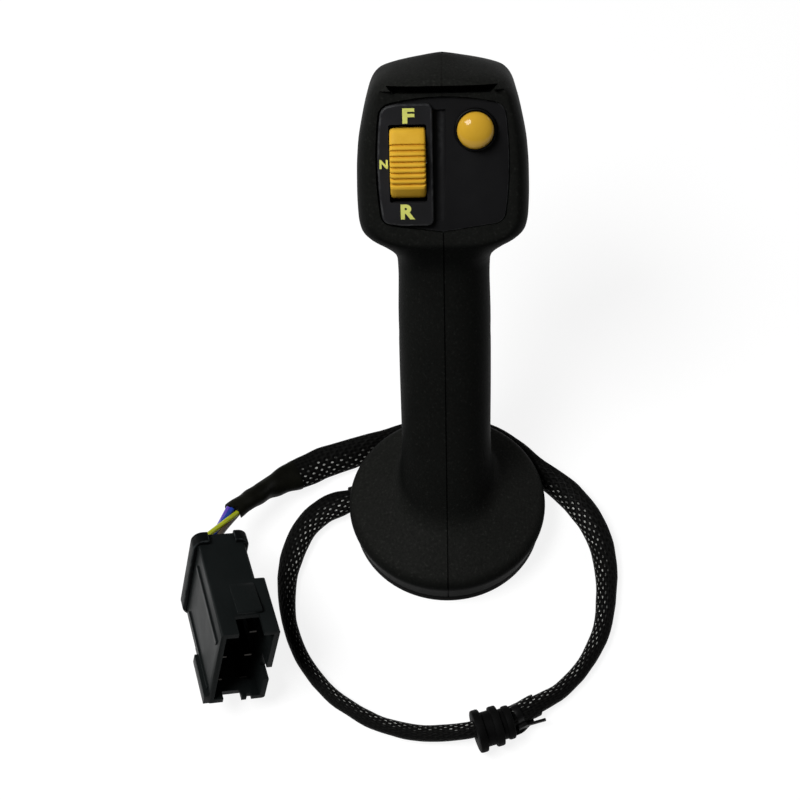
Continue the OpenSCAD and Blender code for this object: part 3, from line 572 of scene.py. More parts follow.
@dataclass(frozen=True)
class Finish:
    """Solid finish with a grain: moulded plastic, rubber, nylon, or metal."""

    name: str
    colour: str
    shade: str
    roughness: float = 0.5
    spread: float = 0.1
    grain: float = 0.4
    depth: float = 0.02
    blotch: float = 22.0
    specular: float = 0.4
    metallic: float = 0.0
    wear: float = 0.0
    worn: str = "#5a5a58"
    speck: float = 0.0
    dust_and_sheen: float = 0.0

    def material(self) -> bpy.types.Material:
        """Build the finish once, and give it again after that."""
        if self.name in BUILT:
            return BUILT[self.name]
        mat, w, shader = self.started()
        place = w.add("ShaderNodeTexCoord").outputs["Object"]
        grain = effect(w, grain_group, Vector=place, Grain=self.grain * MM, Blotch=self.blotch * MM)
        tone = self.mix(w, grain.outputs["Blotch"], srgb(self.colour), srgb(self.shade))
        if self.speck:
            tone = self.mix(w, w.math("MULTIPLY", grain.outputs["Speck"], self.speck), tone, srgb(self.worn))
        # Wear on rounded edges, with a painted highlight where the channel's floor is marked, then painted
        # shade, near black, in the seam groove.
        if self.wear:
            rim = effect(w, wear_and_painted_light_group, Vector=place, Amount=self.wear).outputs
            tone = self.mix(w, rim["Seam Shade"], self.mix(w, rim["Mask"], tone, srgb(self.worn)), srgb(SEAM_SHADE_COLOUR))
        # Dust and painted sheen: a pale tone on faces that look up.
        if self.dust_and_sheen:
            dust_sheen = effect(w, dust_and_sheen_group, Vector=place, Amount=self.dust_and_sheen).outputs["Mask"]
            tone = self.mix(w, dust_sheen, tone, srgb(DUST_AND_SHEEN_COLOUR))
        w.put(shader.inputs["Base Color"], tone)
        half = self.spread / 2
        rough = w.remap(grain.outputs["Blotch"], 0, 1, self.roughness - half, self.roughness + half)
        w.put(shader.inputs["Roughness"], rough)
        bump = w.add(
            "ShaderNodeBump", None, Strength=1.0, Distance=self.depth * MM, Height=grain.outputs["Height"])
        w.put(shader.inputs["Normal"], bump.outputs["Normal"])
        shader.inputs["Specular IOR Level"].default_value = self.specular
        shader.inputs["Metallic"].default_value = self.metallic
        return mat

    def started(self) -> tuple[bpy.types.Material, Wiring, bpy.types.Node]:
        """Start the finish's material: the material, its wiring and its shader."""
        mat = BUILT[self.name] = bpy.data.materials.new(f"{self.name}_finish")
        mat.use_nodes = True
        return mat, Wiring(mat.node_tree), mat.node_tree.nodes["Principled BSDF"]

    @staticmethod
    def mix(w: Wiring, factor: object, a: object, b: object) -> bpy.types.NodeSocket:
        """Blend of two colours."""
        node = w.add("ShaderNodeMix", {"data_type": "RGBA"})
        w.put(node.inputs[0], factor)
        w.put(node.inputs[6], a)
        w.put(node.inputs[7], b)
        return node.outputs[2]

    def dress(self, obj: bpy.types.Object) -> bpy.types.Object:
        """Give an object this finish.

        Args:
            obj: New piece, or a node that is carried over.

        Returns:
            The same object.
        """
        mat = self.material()
        if not obj.material_slots:
            obj.data.materials.append(mat)
        for slot in obj.material_slots:
            slot.material = mat
        return obj


@dataclass(frozen=True)
class BraidFinish(Finish):
    """Braided sleeve: strands on the sleeve's own map, with painted glints along one side."""

    around: float = 12.0
    along: float = 235.0
    fleck: str = "#c6c7c2"

    def material(self) -> bpy.types.Material:
        """Build the braid once, and give it again after that."""
        if self.name in BUILT:
            return BUILT[self.name]
        mat, w, shader = self.started()
        coords = w.add("ShaderNodeTexCoord")
        braid = effect(w, braid_group, UV=coords.outputs["UV"], Around=self.around, Along=self.along)
        uv = w.add("ShaderNodeSeparateXYZ", None, n0=coords.outputs["UV"]).outputs
        # Painted glints: a pale colour in the spots between strands, mostly on one side of the sleeve and
        # broken up by noise.
        patch = w.noise(coords.outputs["Object"], 110.0, Detail=2.0)
        glint = w.noise(coords.outputs["Object"], 700.0, Detail=1.0)
        turn = w.math("COSINE", w.math("MULTIPLY", w.math("SUBTRACT", uv["X"], 0.1), math.tau))
        side = w.remap(w.math("MULTIPLY_ADD", patch, 0.8, turn), 0.78, 1.28)
        lit = w.math("MULTIPLY", braid.outputs["Fleck"], side)
        shine = w.math("MULTIPLY", lit, w.remap(glint, 0.4, 0.62, 0.12, 1.0))
        tone = self.mix(w, braid.outputs["Strand"], srgb(self.colour), srgb(self.shade))
        tone = self.mix(w, shine, tone, srgb(self.fleck))
        w.put(shader.inputs["Base Color"], tone)
        rough = w.remap(braid.outputs["Height"], 0, 1, self.roughness + 0.2, self.roughness)
        w.put(shader.inputs["Roughness"], rough)
        bump = w.add(
            "ShaderNodeBump", None, Strength=0.9, Distance=self.depth * MM, Height=braid.outputs["Height"])
        w.put(shader.inputs["Normal"], bump.outputs["Normal"])
        shader.inputs["Specular IOR Level"].default_value = self.specular
        return mat


class Finishes:
    """Finishes of the part, by the record's material slots."""

    # The grip's faces that look up get dust and painted sheen, and its seam groove gets painted shade.
    GRIP = Finish("grip_plastic", "#0b0c0b", "#0e0f0e", 0.5, 0.08, 0.5, 0.09, 30, 0.009,
                  wear=0.12, worn="#4a4b48", speck=0.09, dust_and_sheen=0.05)
    RING = Finish("ring_plastic", "#0a0a0a", "#0d0d0d", 0.5, 0.1, 0.5, 0.02, specular=0.01)
    # The panel's worn colour is also a painted highlight on the channel's floor.
    PANEL = Finish("panel_plastic", "#151516", "#19191a", 0.42, 0.08, 0.3, 0.03, 18, 0.06,
                   wear=0.4, worn="#404142")
    BEZEL = Finish("bezel_plastic", "#1f1f20", "#232325", 0.36, 0.1, 0.3, 0.025, 12, 0.08,
                   wear=0.5, worn="#4a4b4c")
    ROCKER = Finish("rocker_yellow", "#e0b23a", "#d6a630", 0.45, 0.1, 0.3, 0.02, 9, 0.05)
    CAP = Finish("cap_yellow", "#d4a632", "#cb9d2c", 0.12, 0.03, 0.5, 0.003, 14, 0.22)
    COLLAR = Finish("collar_black", "#080808", "#0c0c0c", 0.4, 0.1, 0.4, 0.01, specular=0.12)
    PRINT = Finish("marking_print", "#d9dc72", "#cdd068", 0.55, 0.05, 0.2, 0.008, 4, 0.3)
    RUBBER = Finish("black_rubber", "#0a0a0a", "#0e0e0e", 0.6, 0.1, 0.35, 0.02, 8, 0.03)
    TAPE = Finish("sleeve_tape", "#090909", "#0e0e0e", 0.3, 0.12, 0.6, 0.03, 6, 0.2)
    TIE = Finish("tie_nylon", "#080808", "#0d0d0d", 0.4, 0.1, 0.3, 0.01, specular=0.15)
    SHRINK = Finish("shrink_tube", "#0b0b08", "#11110c", 0.45, 0.16, 1.2, 0.09, 7, 0.05)
    PLUG = Finish("plug_plastic", "#171a1a", "#141717", 0.4, 0.08, 0.35, 0.03, 16, 0.045,
                  wear=0.2, worn="#5c6162")
    PLUG_COLLAR = Finish("collar_plastic", "#0e1011", "#0c0e0e", 0.4, 0.1, 0.35, 0.02, 10, 0.03,
                         wear=0.4, worn="#4c5152")
    LOCK = Finish("lock_plastic", "#171a1a", "#141717", 0.4, 0.1, 0.35, 0.02, 10, 0.045)
    ZINC = Finish("zinc_steel", "#9a9c9f", "#85878a", 0.34, 0.14, 0.25, 0.01, 3, metallic=1.0)
    SOCKET = Finish("socket_metal", "#a5a7aa", "#8d8f92", 0.36, 0.16, 0.3, 0.012, 9, metallic=1.0)
    BLACK_STEEL = Finish("black_steel", "#1c1d1f", "#131415", 0.4, 0.12, 0.25, 0.01, 4, metallic=0.6)
    BRIGHT = Finish("bright_steel", "#b4b6b9", "#a0a2a5", 0.25, 0.1, 0.2, 0.004, 4, metallic=1.0)
    ACETAL = Finish("acetal", "#d6d1c4", "#cbc6b8", 0.4, 0.08, 0.4, 0.008, 6)
    SWITCH = Finish("switch_plastic", "#151517", "#1b1b1e", 0.45, 0.1, 0.35, 0.012, 8, 0.35)
    BRASS = Finish("brass_blades", "#c39a45", "#a9843a", 0.3, 0.12, 0.2, 0.006, 3, metallic=1.0)
    # Tin darkened well below its own colour: painted shade for pins that sit deep in the plug's mouth.
    SHADED_TIN = Finish("tin_blades", "#262421", "#1e1c1a", 0.3, 0.12, 0.2, 0.006, 3, metallic=1.0)
    LEAD_BLACK = Finish("lead_black", "#171719", "#1f1f21", 0.4, 0.1, 0.3, 0.01, 6)
    LEAD_BROWN = Finish("lead_brown", "#5b4020", "#4c351b", 0.4, 0.1, 0.3, 0.01, 5)
    LEAD_VIOLET = Finish("lead_violet", "#6a2f90", "#5b287c", 0.4, 0.1, 0.3, 0.01, 5)
    SEAL = Finish("seal_rubber", "#6b2217", "#5a1c13", 0.55, 0.1, 0.3, 0.02, 3)
    WIRES = tuple(
        Finish(f"wire_{name}", colour, tint, 0.36, 0.1, 0.3, 0.01, 4, 0.3) for name, colour, tint in (
        ("yellow", "#b5bd1c", "#a0a916"), ("brown", "#3d2a17", "#332312"), ("blue", "#243f9e", "#1e3588"),
        ("pink", "#c9a79a", "#b89486"), ("violet", "#5a3ab4", "#4c2f9f")))
    SLEEVE = BraidFinish("braided_sleeve", "#070707", "#131312", 0.42, depth=0.3, specular=0.03)


def settled(obj: bpy.types.Object, finish: Finish, node: str = "",
            body: Body = Body.HANDLE) -> bpy.types.Object:
    """Dress a piece and set it on its body.

    Args:
        obj: The piece.
        finish: Its finish.
        node: Solid that the piece stands for, if any.
        body: Body that carries it.

    Returns:
        The same object.
    """
    finish.dress(obj)
    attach(obj, body.value)
    if node:
        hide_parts(node)
    LOG.info("%s: %d faces", obj.name, len(obj.data.polygons))
    return obj


# ------------------------------------------------------------------ shared outlines


@dataclass(frozen=True)
class PanelOutline:
    """Outline of the panel: bowed sides, arched top and a low point at the middle of its foot."""

    half_w: float = 24.6
    half_h: float = 25.0
    bow: float = 1.7
    shoulder: float = 3.0
    hip: float = 3.4
    arch: float = 12.0
    steps: int = 10

    def points(self, grow: float = 0.0) -> list[Point]:
        """Points of the outline, grown outwards.

        Args:
            grow: Distance outwards, negative to shrink.

        Returns:
            Points of [right, up].
        """
        wide, top, foot = self.half_w - self.bow, self.half_h - self.shoulder, -(self.half_h - self.hip)
        ts = [i / self.steps for i in range(self.steps)]
        raw = [(wide + 4 * self.bow * t * (1 - t), foot + (top - foot) * t) for t in ts]
        raw += [(wide - 2 * wide * t, top + self.arch * t * (1 - t)) for t in ts]
        raw += [(-wide - 4 * self.bow * t * (1 - t), top + (foot - top) * t) for t in ts]
        raw += [(-wide, foot), (0.0, -self.half_h)]
        count = len(raw)
        grown = []
        for i, (x, y) in enumerate(raw):
            before = (Vector(raw[i]) - Vector(raw[i - 1])).normalized()
            after = (Vector(raw[(i + 1) % count]) - Vector(raw[i])).normalized()
            out = Vector((before.y + after.y, -before.x - after.x)).normalized()
            lean = max(0.3, out.dot(Vector((after.y, -after.x))))
            grown.append((x + out.x * grow / lean, y + out.y * grow / lean))
        return grown


# ------------------------------------------------------------------ grip


@dataclass
class GripShell:
    """Two halves of the moulded grip, from the flange's foot to the roof of its head."""

    places: Places
    foot_r: float = 40.3
    foot_z: float = 4.3
    fillet: float = 5.5
    arc_r: float = 36.7
    arc_z: float = 14.1
    cone_slope: float = 24.0
    skirt_slope: float = 11.0
    wall: float = 2.8
    across: int = 44
    blend_out: float = 4.6
    blend_up: float = 6.0
    frame_lip: float = 1.5
    cut_top: float = 27.0
    lip_soft: float = 0.6
    seam: float = 0.27
    seam_depth: float = 0.32
    tight_depth: float = 0.06
    tight_rings: int = 30
    panel_q: float = -23.0
    panel_s: float = 154.3
    panel_tilt: float = 8.0
    hollow_back: float = 6.2
    hollow_sides: int = 32
    flange_wall: float = 3.4
    pocket_gap: float = 0.12
    pocket_deep: float = 2.5
    bolt_s: float = 80.0
    bolt_d: float = 8.6
    well_d: float = 5.4
    screw_wells: tuple[Point, ...] = ((24, 13.2), (98, 13.2), (130, 13), (176, 6))
    exit_r: float = 6.0
    exit_up: float = 4.5
    exit_heading: float = 198.0
    stations: tuple[Point, ...] = (
        (-4, 20.6, 21.3, 22, 2.3), (4, 20, 21.3, 21.8, 2.3), (14, 19.4, 21.1, 21.4, 2.4),
        (36, 18.6, 20.8, 21, 2.4), (60, 18.7, 21, 21.2, 2.4), (90, 18.5, 21.3, 21.5, 2.4),
        (104, 18.1, 21.5, 21.5, 2.4), (111, 18.3, 22, 21.6, 2.5), (115, 19.4, 23, 21.8, 2.7),
        (118, 21.7, 24.4, 22, 2.9), (121, 25.2, 26.2, 22.3, 3.2), (124.5, 29.5, 28.8, 22.6, 3.7),
        (128, 31.8, 30.6, 23, 4.1), (133, 32.5, 31.4, 23.4, 4.5), (140, 32.7, 30.4, 23.8, 4.6),
        (150, 32.5, 29, 24, 4.6), (160, 31.7, 27.6, 23.6, 4.6), (168, 30.2, 26.6, 22.4, 4.5),
        (175, 28.4, 26, 20.6, 4.3), (180, 26.7, 25.8, 18.8, 4.2), (183.5, 24.2, 25.2, 17, 3.7),
        (185.5, 20.6, 24, 15.5, 2.6), (187, 16.6, 19.5, 13, 2.0), (188.6, 9.8, 12, 9, 1.7),
        (190.4, 1, 2, 2, 2))
    slopes: list[list[float]] = field(default_factory=list)

    def __post_init__(self) -> None:
        """Work out the slopes that carry each size smoothly from station to station."""
        rows = self.stations
        gaps = [b[0] - a[0] for a, b in zip(rows, rows[1:])]
        for c in range(1, 5):
            rates = [(b[c] - a[c]) / g for a, b, g in zip(rows, rows[1:], gaps)]
            line = [rates[0]]
            for i in range(1, len(rows) - 1):
                a, b = rates[i - 1], rates[i]
                line.append(0.0 if a * b <= 0 else 3 * (gaps[i - 1] + gaps[i]) / (
                    (2 * gaps[i] + gaps[i - 1]) / a + (gaps[i] + 2 * gaps[i - 1]) / b))
            self.slopes.append(line + [rates[-1]])

    def sizes(self, s: float) -> list[float]:
        """Half width, front depth, back depth and squareness at a height along the axis."""
        rows = self.stations
        s = min(max(s, rows[0][0]), rows[-1][0])
        i = max(k for k in range(len(rows) - 1) if rows[k][0] <= s)
        gap = rows[i + 1][0] - rows[i][0]
        t = (s - rows[i][0]) / gap
        found = []
        for c in range(1, 5):
            a, b, slope = rows[i][c], rows[i + 1][c], self.slopes[c - 1]
            ma, mb = slope[i] * gap, slope[i + 1] * gap
            found.append((2 * t**3 - 3 * t * t + 1) * a + (t**3 - 2 * t * t + t) * ma
                         + (3 * t * t - 2 * t**3) * b + (t**3 - t * t) * mb)
        return found

    def skin_point(self, k: int, s: float) -> Vector:
        """Point of the outer skin on the handle's axes.

        Args:
            k: Number of the line from the front, 0, to the back.
            s: Height along the axis.

        Returns:
            The point, with the head's front held back to the panel's frame.
        """
        a, front, back, n = self.sizes(s)
        t = -math.pi / 2 + math.pi * k / self.across
        side = 0.0 if k in (0, self.across) else math.cos(t)
        reach = front if t < 0 else back
        q = math.copysign(abs(math.sin(t)) ** (2 / n), t) * reach
        x = a * side ** (2 / n)
        return Vector((x, self.held_back(q, s), s))

    def held_back(self, q: float, s: float) -> float:
        """Depth of a front point after the panel's frame is cut, with a soft lip under the hood."""
        tilt = math.radians(self.panel_tilt)
        out = -(q - self.panel_q) * math.cos(tilt) + (s - self.panel_s) * math.sin(tilt)
        up = (q - self.panel_q) * math.sin(tilt) + (s - self.panel_s) * math.cos(tilt)
        soft = self.lip_soft
        h = min(max(0.5 + 0.5 * (out - self.frame_lip) / soft, 0.0), 1.0)
        held = out * (1 - h) + self.frame_lip * h - soft * h * (1 - h)
        edge = min(max((up - self.cut_top + 0.1) / 0.5, 0.0), 1.0)
        free = edge * edge * (3 - 2 * edge)
        return q + (out - (held * (1 - free) + out * free)) / math.cos(tilt)

    def cone_z(self, r: float) -> float:
        """Height of the cone at a radius."""
        slope = math.radians(self.cone_slope)
        reach = self.arc_r + self.fillet * math.sin(slope) - r
        return self.arc_z + self.fillet * math.cos(slope) + reach * math.tan(slope)

    def meeting(self, k: int, at: Matrix) -> float:
        """Height along the axis at which a line of the grip meets the cone."""
        low, high = -12.0, 40.0
        for _ in range(40):
            mid = (low + high) / 2
            p = at @ self.skin_point(k, mid)
            if p.z > self.cone_z(math.hypot(p.x, p.y)):
                high = mid
            else:
                low = mid
        return (low + high) / 2

    def rings(self) -> list[list[Vector]]:
        """Rings of the right half, each from the front of the middle plane to its back."""
        at = self.places.handle()
        ks = range(self.across + 1)
        slope = math.radians(self.cone_slope)
        arc_r, arc_z = self.arc_r, self.arc_z
        angles = [-math.pi / 2 + math.pi * k / self.across for k in ks]
        angles = [(a, 0.0 if k in (0, self.across) else 1.0) for k, a in zip(ks, angles)]

        def round_ring(r: float, z: float) -> list[Vector]:
            """Half ring of the flange at a radius and a height."""
            return [Vector((r * math.cos(a) * side, r * math.sin(a), z)) for a, side in angles]

        skirt_foot = (self.foot_r, self.foot_z)
        start = -math.radians(self.skirt_slope)
        skirt_top = (arc_r + self.fillet * math.cos(start), arc_z + self.fillet * math.sin(start))
        rings = []
        for t in (0, 0.04, 0.3, 0.65, 0.94):
            rings.append(round_ring(*[a + (b - a) * t for a, b in zip(skirt_foot, skirt_top)]))
        for i in range(11):
            t = start + (math.pi / 2 - slope - start) * i / 10
            rings.append(round_ring(arc_r + self.fillet * math.cos(t), arc_z + self.fillet * math.sin(t)))
        cone_r = arc_r + self.fillet * math.sin(slope)
        meets, outs, ups = [], [], []
        for k in ks:
            s = self.meeting(k, at)
            p = at @ self.skin_point(k, s)
            r, a = math.hypot(p.x, p.y), math.atan2(p.y, p.x)
            r_out = min(r + self.blend_out, cone_r - 1.5)
            side = 0.0 if k in (0, self.across) else 1.0
            outs.append((r_out, a, side))
            meets.append(p)
            ups.append(s + self.blend_up)
        for u in (0.04, 0.2, 0.4, 0.6, 0.8, 1.0):
            ring = []
            for (start_a, _), (r_out, a_out, side) in zip(angles, outs):
                r = cone_r + (r_out - cone_r) * u
                a = start_a + (a_out - start_a) * u
                ring.append(Vector((r * math.cos(a) * side, r * math.sin(a), self.cone_z(r))))
            rings.append(ring)
        ends = [at @ self.skin_point(k, up) for k, up in zip(ks, ups)]
        last = rings[-1]
        for i in range(1, 11):
            t = i / 10
            rings.append([
                a * (1 - t) ** 2 + b * 2 * t * (1 - t) + c * t * t for a, b, c in zip(last, meets, ends)])
        for i in range(1, 6):
            rings.append([at @ self.skin_point(k, up + (44 - up) * i / 5) for k, up in zip(ks, ups)])
        heights = [44 + 6.5 * i for i in range(1, 10)] + [104 + 1.2 * i for i in range(1, 25)]
        heights += [133 + 2.6 * i for i in range(1, 18)] + [178.6, 180, 180.9]
        heights += [181.3 + 0.16 * i for i in range(10)]
        heights += [183.2, 183.8, 184.4, 185, 185.5, 186, 186.5, 187]
        heights += [187.6, 188.2, 188.9, 189.6, 190.1, 190.4]
        for s in heights:
            rings.append([at @ self.skin_point(k, s) for k in ks])
        return rings

    def grooved(self, rings: list[list[Vector]]) -> list[list[Vector]]:
        """Sink both ends of each ring, so that a fine groove runs where the halves meet."""
        sunk = []
        for i, ring in enumerate(rings):
            before, after = rings[max(i - 1, 0)], rings[min(i + 1, len(rings) - 1)]
            ends = []
            for end, other, beside in ((0, -1, 1), (-1, 0, -2)):
                run = after[end] - before[end]
                inward = Vector((0, -run.z, run.y)).normalized()
                if inward.dot(ring[other] - ring[end]) < 0:
                    inward.negate()
                tight = i > len(rings) - self.tight_rings and end == 0
                deep = self.tight_depth if tight else self.seam_depth
                lip = Vector((min(self.seam, ring[beside].x / 2), 0, 0))
                ends.append([ring[end] + inward * deep, ring[end] + lip])
            sunk.append([*ends[0], *ring[1:-1], *ends[1][::-1]])
        return sunk

    def skin(self, half: Half) -> bpy.types.Object:
        """Outer solid of one half, with a fine groove where it meets the other."""
        bm, rings = loft(self.grooved(self.rings()))
        # Faces beside the seam groove are marked -1, and the finish paints them near black as painted shade.
        edge = bm.loops.layers.float.new("edge")
        ends = {vert for ring in rings for vert in (ring[0], ring[-1])}
        for face in bm.faces:
            if len(face.verts) == 4 and 0 < sum(vert in ends for vert in face.verts) < 4:
                for loop in face.loops:
                    loop[edge] = -1.0
        if half is Half.LEFT:
            bmesh.ops.scale(bm, vec=(-1, 1, 1), verts=bm.verts)
        bmesh.ops.recalc_face_normals(bm, faces=bm.faces)
        return placed(bm, f"{half.name.lower()}_grip_skin")

    def hollow(self) -> bpy.types.Object:
        """Hollow inside the handle, turned half a step so that no vertex nears the middle plane."""
        tilt = math.tan(math.radians(self.panel_tilt))
        rings = []
        for i, row in enumerate(self.stations[:-4]):
            depth = -self.panel_q - (row[0] - self.panel_s) * tilt - self.hollow_back
            front = min(row[2] - self.wall, depth)
            ring = []
            for k in range(self.hollow_sides):
                t = -math.pi / 2 + math.tau * (k + 0.5) / self.hollow_sides
                c, d = math.cos(t), math.sin(t)
                e = 2 / row[4]
                ring.append(Vector((
                    math.copysign(abs(c) ** e, c) * (row[1] - self.wall),
                    math.copysign(abs(d) ** e, d) * (front if d < 0 else row[3] - self.wall),
                    row[0] - (4 if i == 0 else 0))))
            rings.append(ring)
        bm, _ = loft(rings)
        return placed(bm, "cut_hollow", self.places.handle())

    def under_flange(self) -> bpy.types.Object:
        """Hollow under the flange, turned half a step as the handle's hollow is."""
        inner, shoulder, middle, steps = self.foot_r - 2.9, self.arc_r - 2, 8, 96
        roof = self.cone_z(middle) - self.flange_wall
        profile = [
            (0, -6), (inner, -6), (inner, self.foot_z), (inner + 0.8, self.arc_z - 1),
            (shoulder, self.cone_z(shoulder) - self.flange_wall), (middle, roof), (0, roof)]
        return placed(turned(profile, steps), "cut_flange", Matrix.Rotation(math.pi / steps, 4, "Z"))

    def drilled(self, s: float, q: float, start: float, stop: float, d: float) -> bpy.types.Object:
        """Solid of a hole across the grip."""
        bm = bmesh.new()
        bmesh.ops.create_cone(
            bm, cap_ends=True, segments=32, radius1=d / 2, radius2=d / 2, depth=abs(stop - start))
        turn = Matrix.Translation(((start + stop) / 2, q, s)) @ Matrix.Rotation(math.pi / 2, 4, "Y")
        return placed(bm, "cut_hole", self.places.handle() @ turn)

    def front_cuts(self) -> list[bpy.types.Object]:
        """Panel's pocket, the opening behind it and the slot under the hood."""
        outline = PanelOutline()
        at = self.places.panel()
        return [
            placed(
                slab(outline.points(self.pocket_gap), -self.pocket_deep, 30, PANEL_CORNER), "cut_pocket", at),
            placed(slab(outline.points(-2.4), -16, 5, 2.4), "cut_opening", at),
            placed(slab([(-17.5, 26.2), (17.5, 26.2), (20.3, 29.3), (-20.3, 29.3)], -5, 30), "cut_slot", at),
        ]

    def exit_cut(self) -> bpy.types.Object:
        """Arch of the cable exit, through the skirt."""
        middle, r = centre_of("exit_grommet"), self.exit_r
        arch = [math.pi * i / 12 for i in range(13)]
        outline = [(-r, -r), (r, -r)] + [(r * math.cos(t), self.exit_up + r * math.sin(t)) for t in arch]
        heading = Matrix.Rotation(math.radians(self.exit_heading), 4, "Z")
        upright = Matrix(((0, 0, 1, 0), (1, 0, 0, 0), (0, 1, 0, 0), (0, 0, 0, 1)))
        turn = Matrix.Translation((middle.x, middle.y, 0)) @ heading @ upright
        return placed(slab(outline, -9, 14), "cut_exit", turn)

    def build(self) -> None:
        """Build both halves, cut them and set them on the handle."""
        for half in Half:
            obj = self.skin(half)
            cuts = [self.hollow(), self.under_flange(), *self.front_cuts()]
            cuts.append(self.drilled(self.bolt_s, 0, 13 * half.value, 30 * half.value, self.bolt_d))
            if half is Half.RIGHT:
                cuts += [self.drilled(s, q, 7, 45, self.well_d) for s, q in self.screw_wells]
            else:
                cuts.append(self.exit_cut())
            carve(obj, cuts)
            weigh(obj)
            settled(obj, Finishes.GRIP, f"{half.name.lower()}_shell")


# ------------------------------------------------------------------ rounded copies of solids


@dataclass(frozen=True)
class Rounded:
    """A hard piece: its solid merged, with its edges rounded."""

    node: str
    finish: Finish
    edge: float = 0.3
    segments: int = 2
    angle: float = 30.0

    def build(self) -> bpy.types.Object:
        """Build the piece in place of its solid.

        Returns:
            The new object.
        """
        bm = bmesh.new()
        bm.from_mesh(frame["nodes"][self.node].data)
        bmesh.ops.remove_doubles(bm, verts=bm.verts, dist=2e-6)
        bmesh.ops.dissolve_limit(bm, angle_limit=math.radians(1.0), verts=bm.verts, edges=bm.edges)
        bmesh.ops.scale(bm, vec=(1 / MM,) * 3, verts=bm.verts)
        soften(bm, self.edge, self.angle, self.segments)
        obj = placed(bm, f"{self.node}_skin")
        return settled(obj, self.finish, self.node)


# ------------------------------------------------------------------ control panel


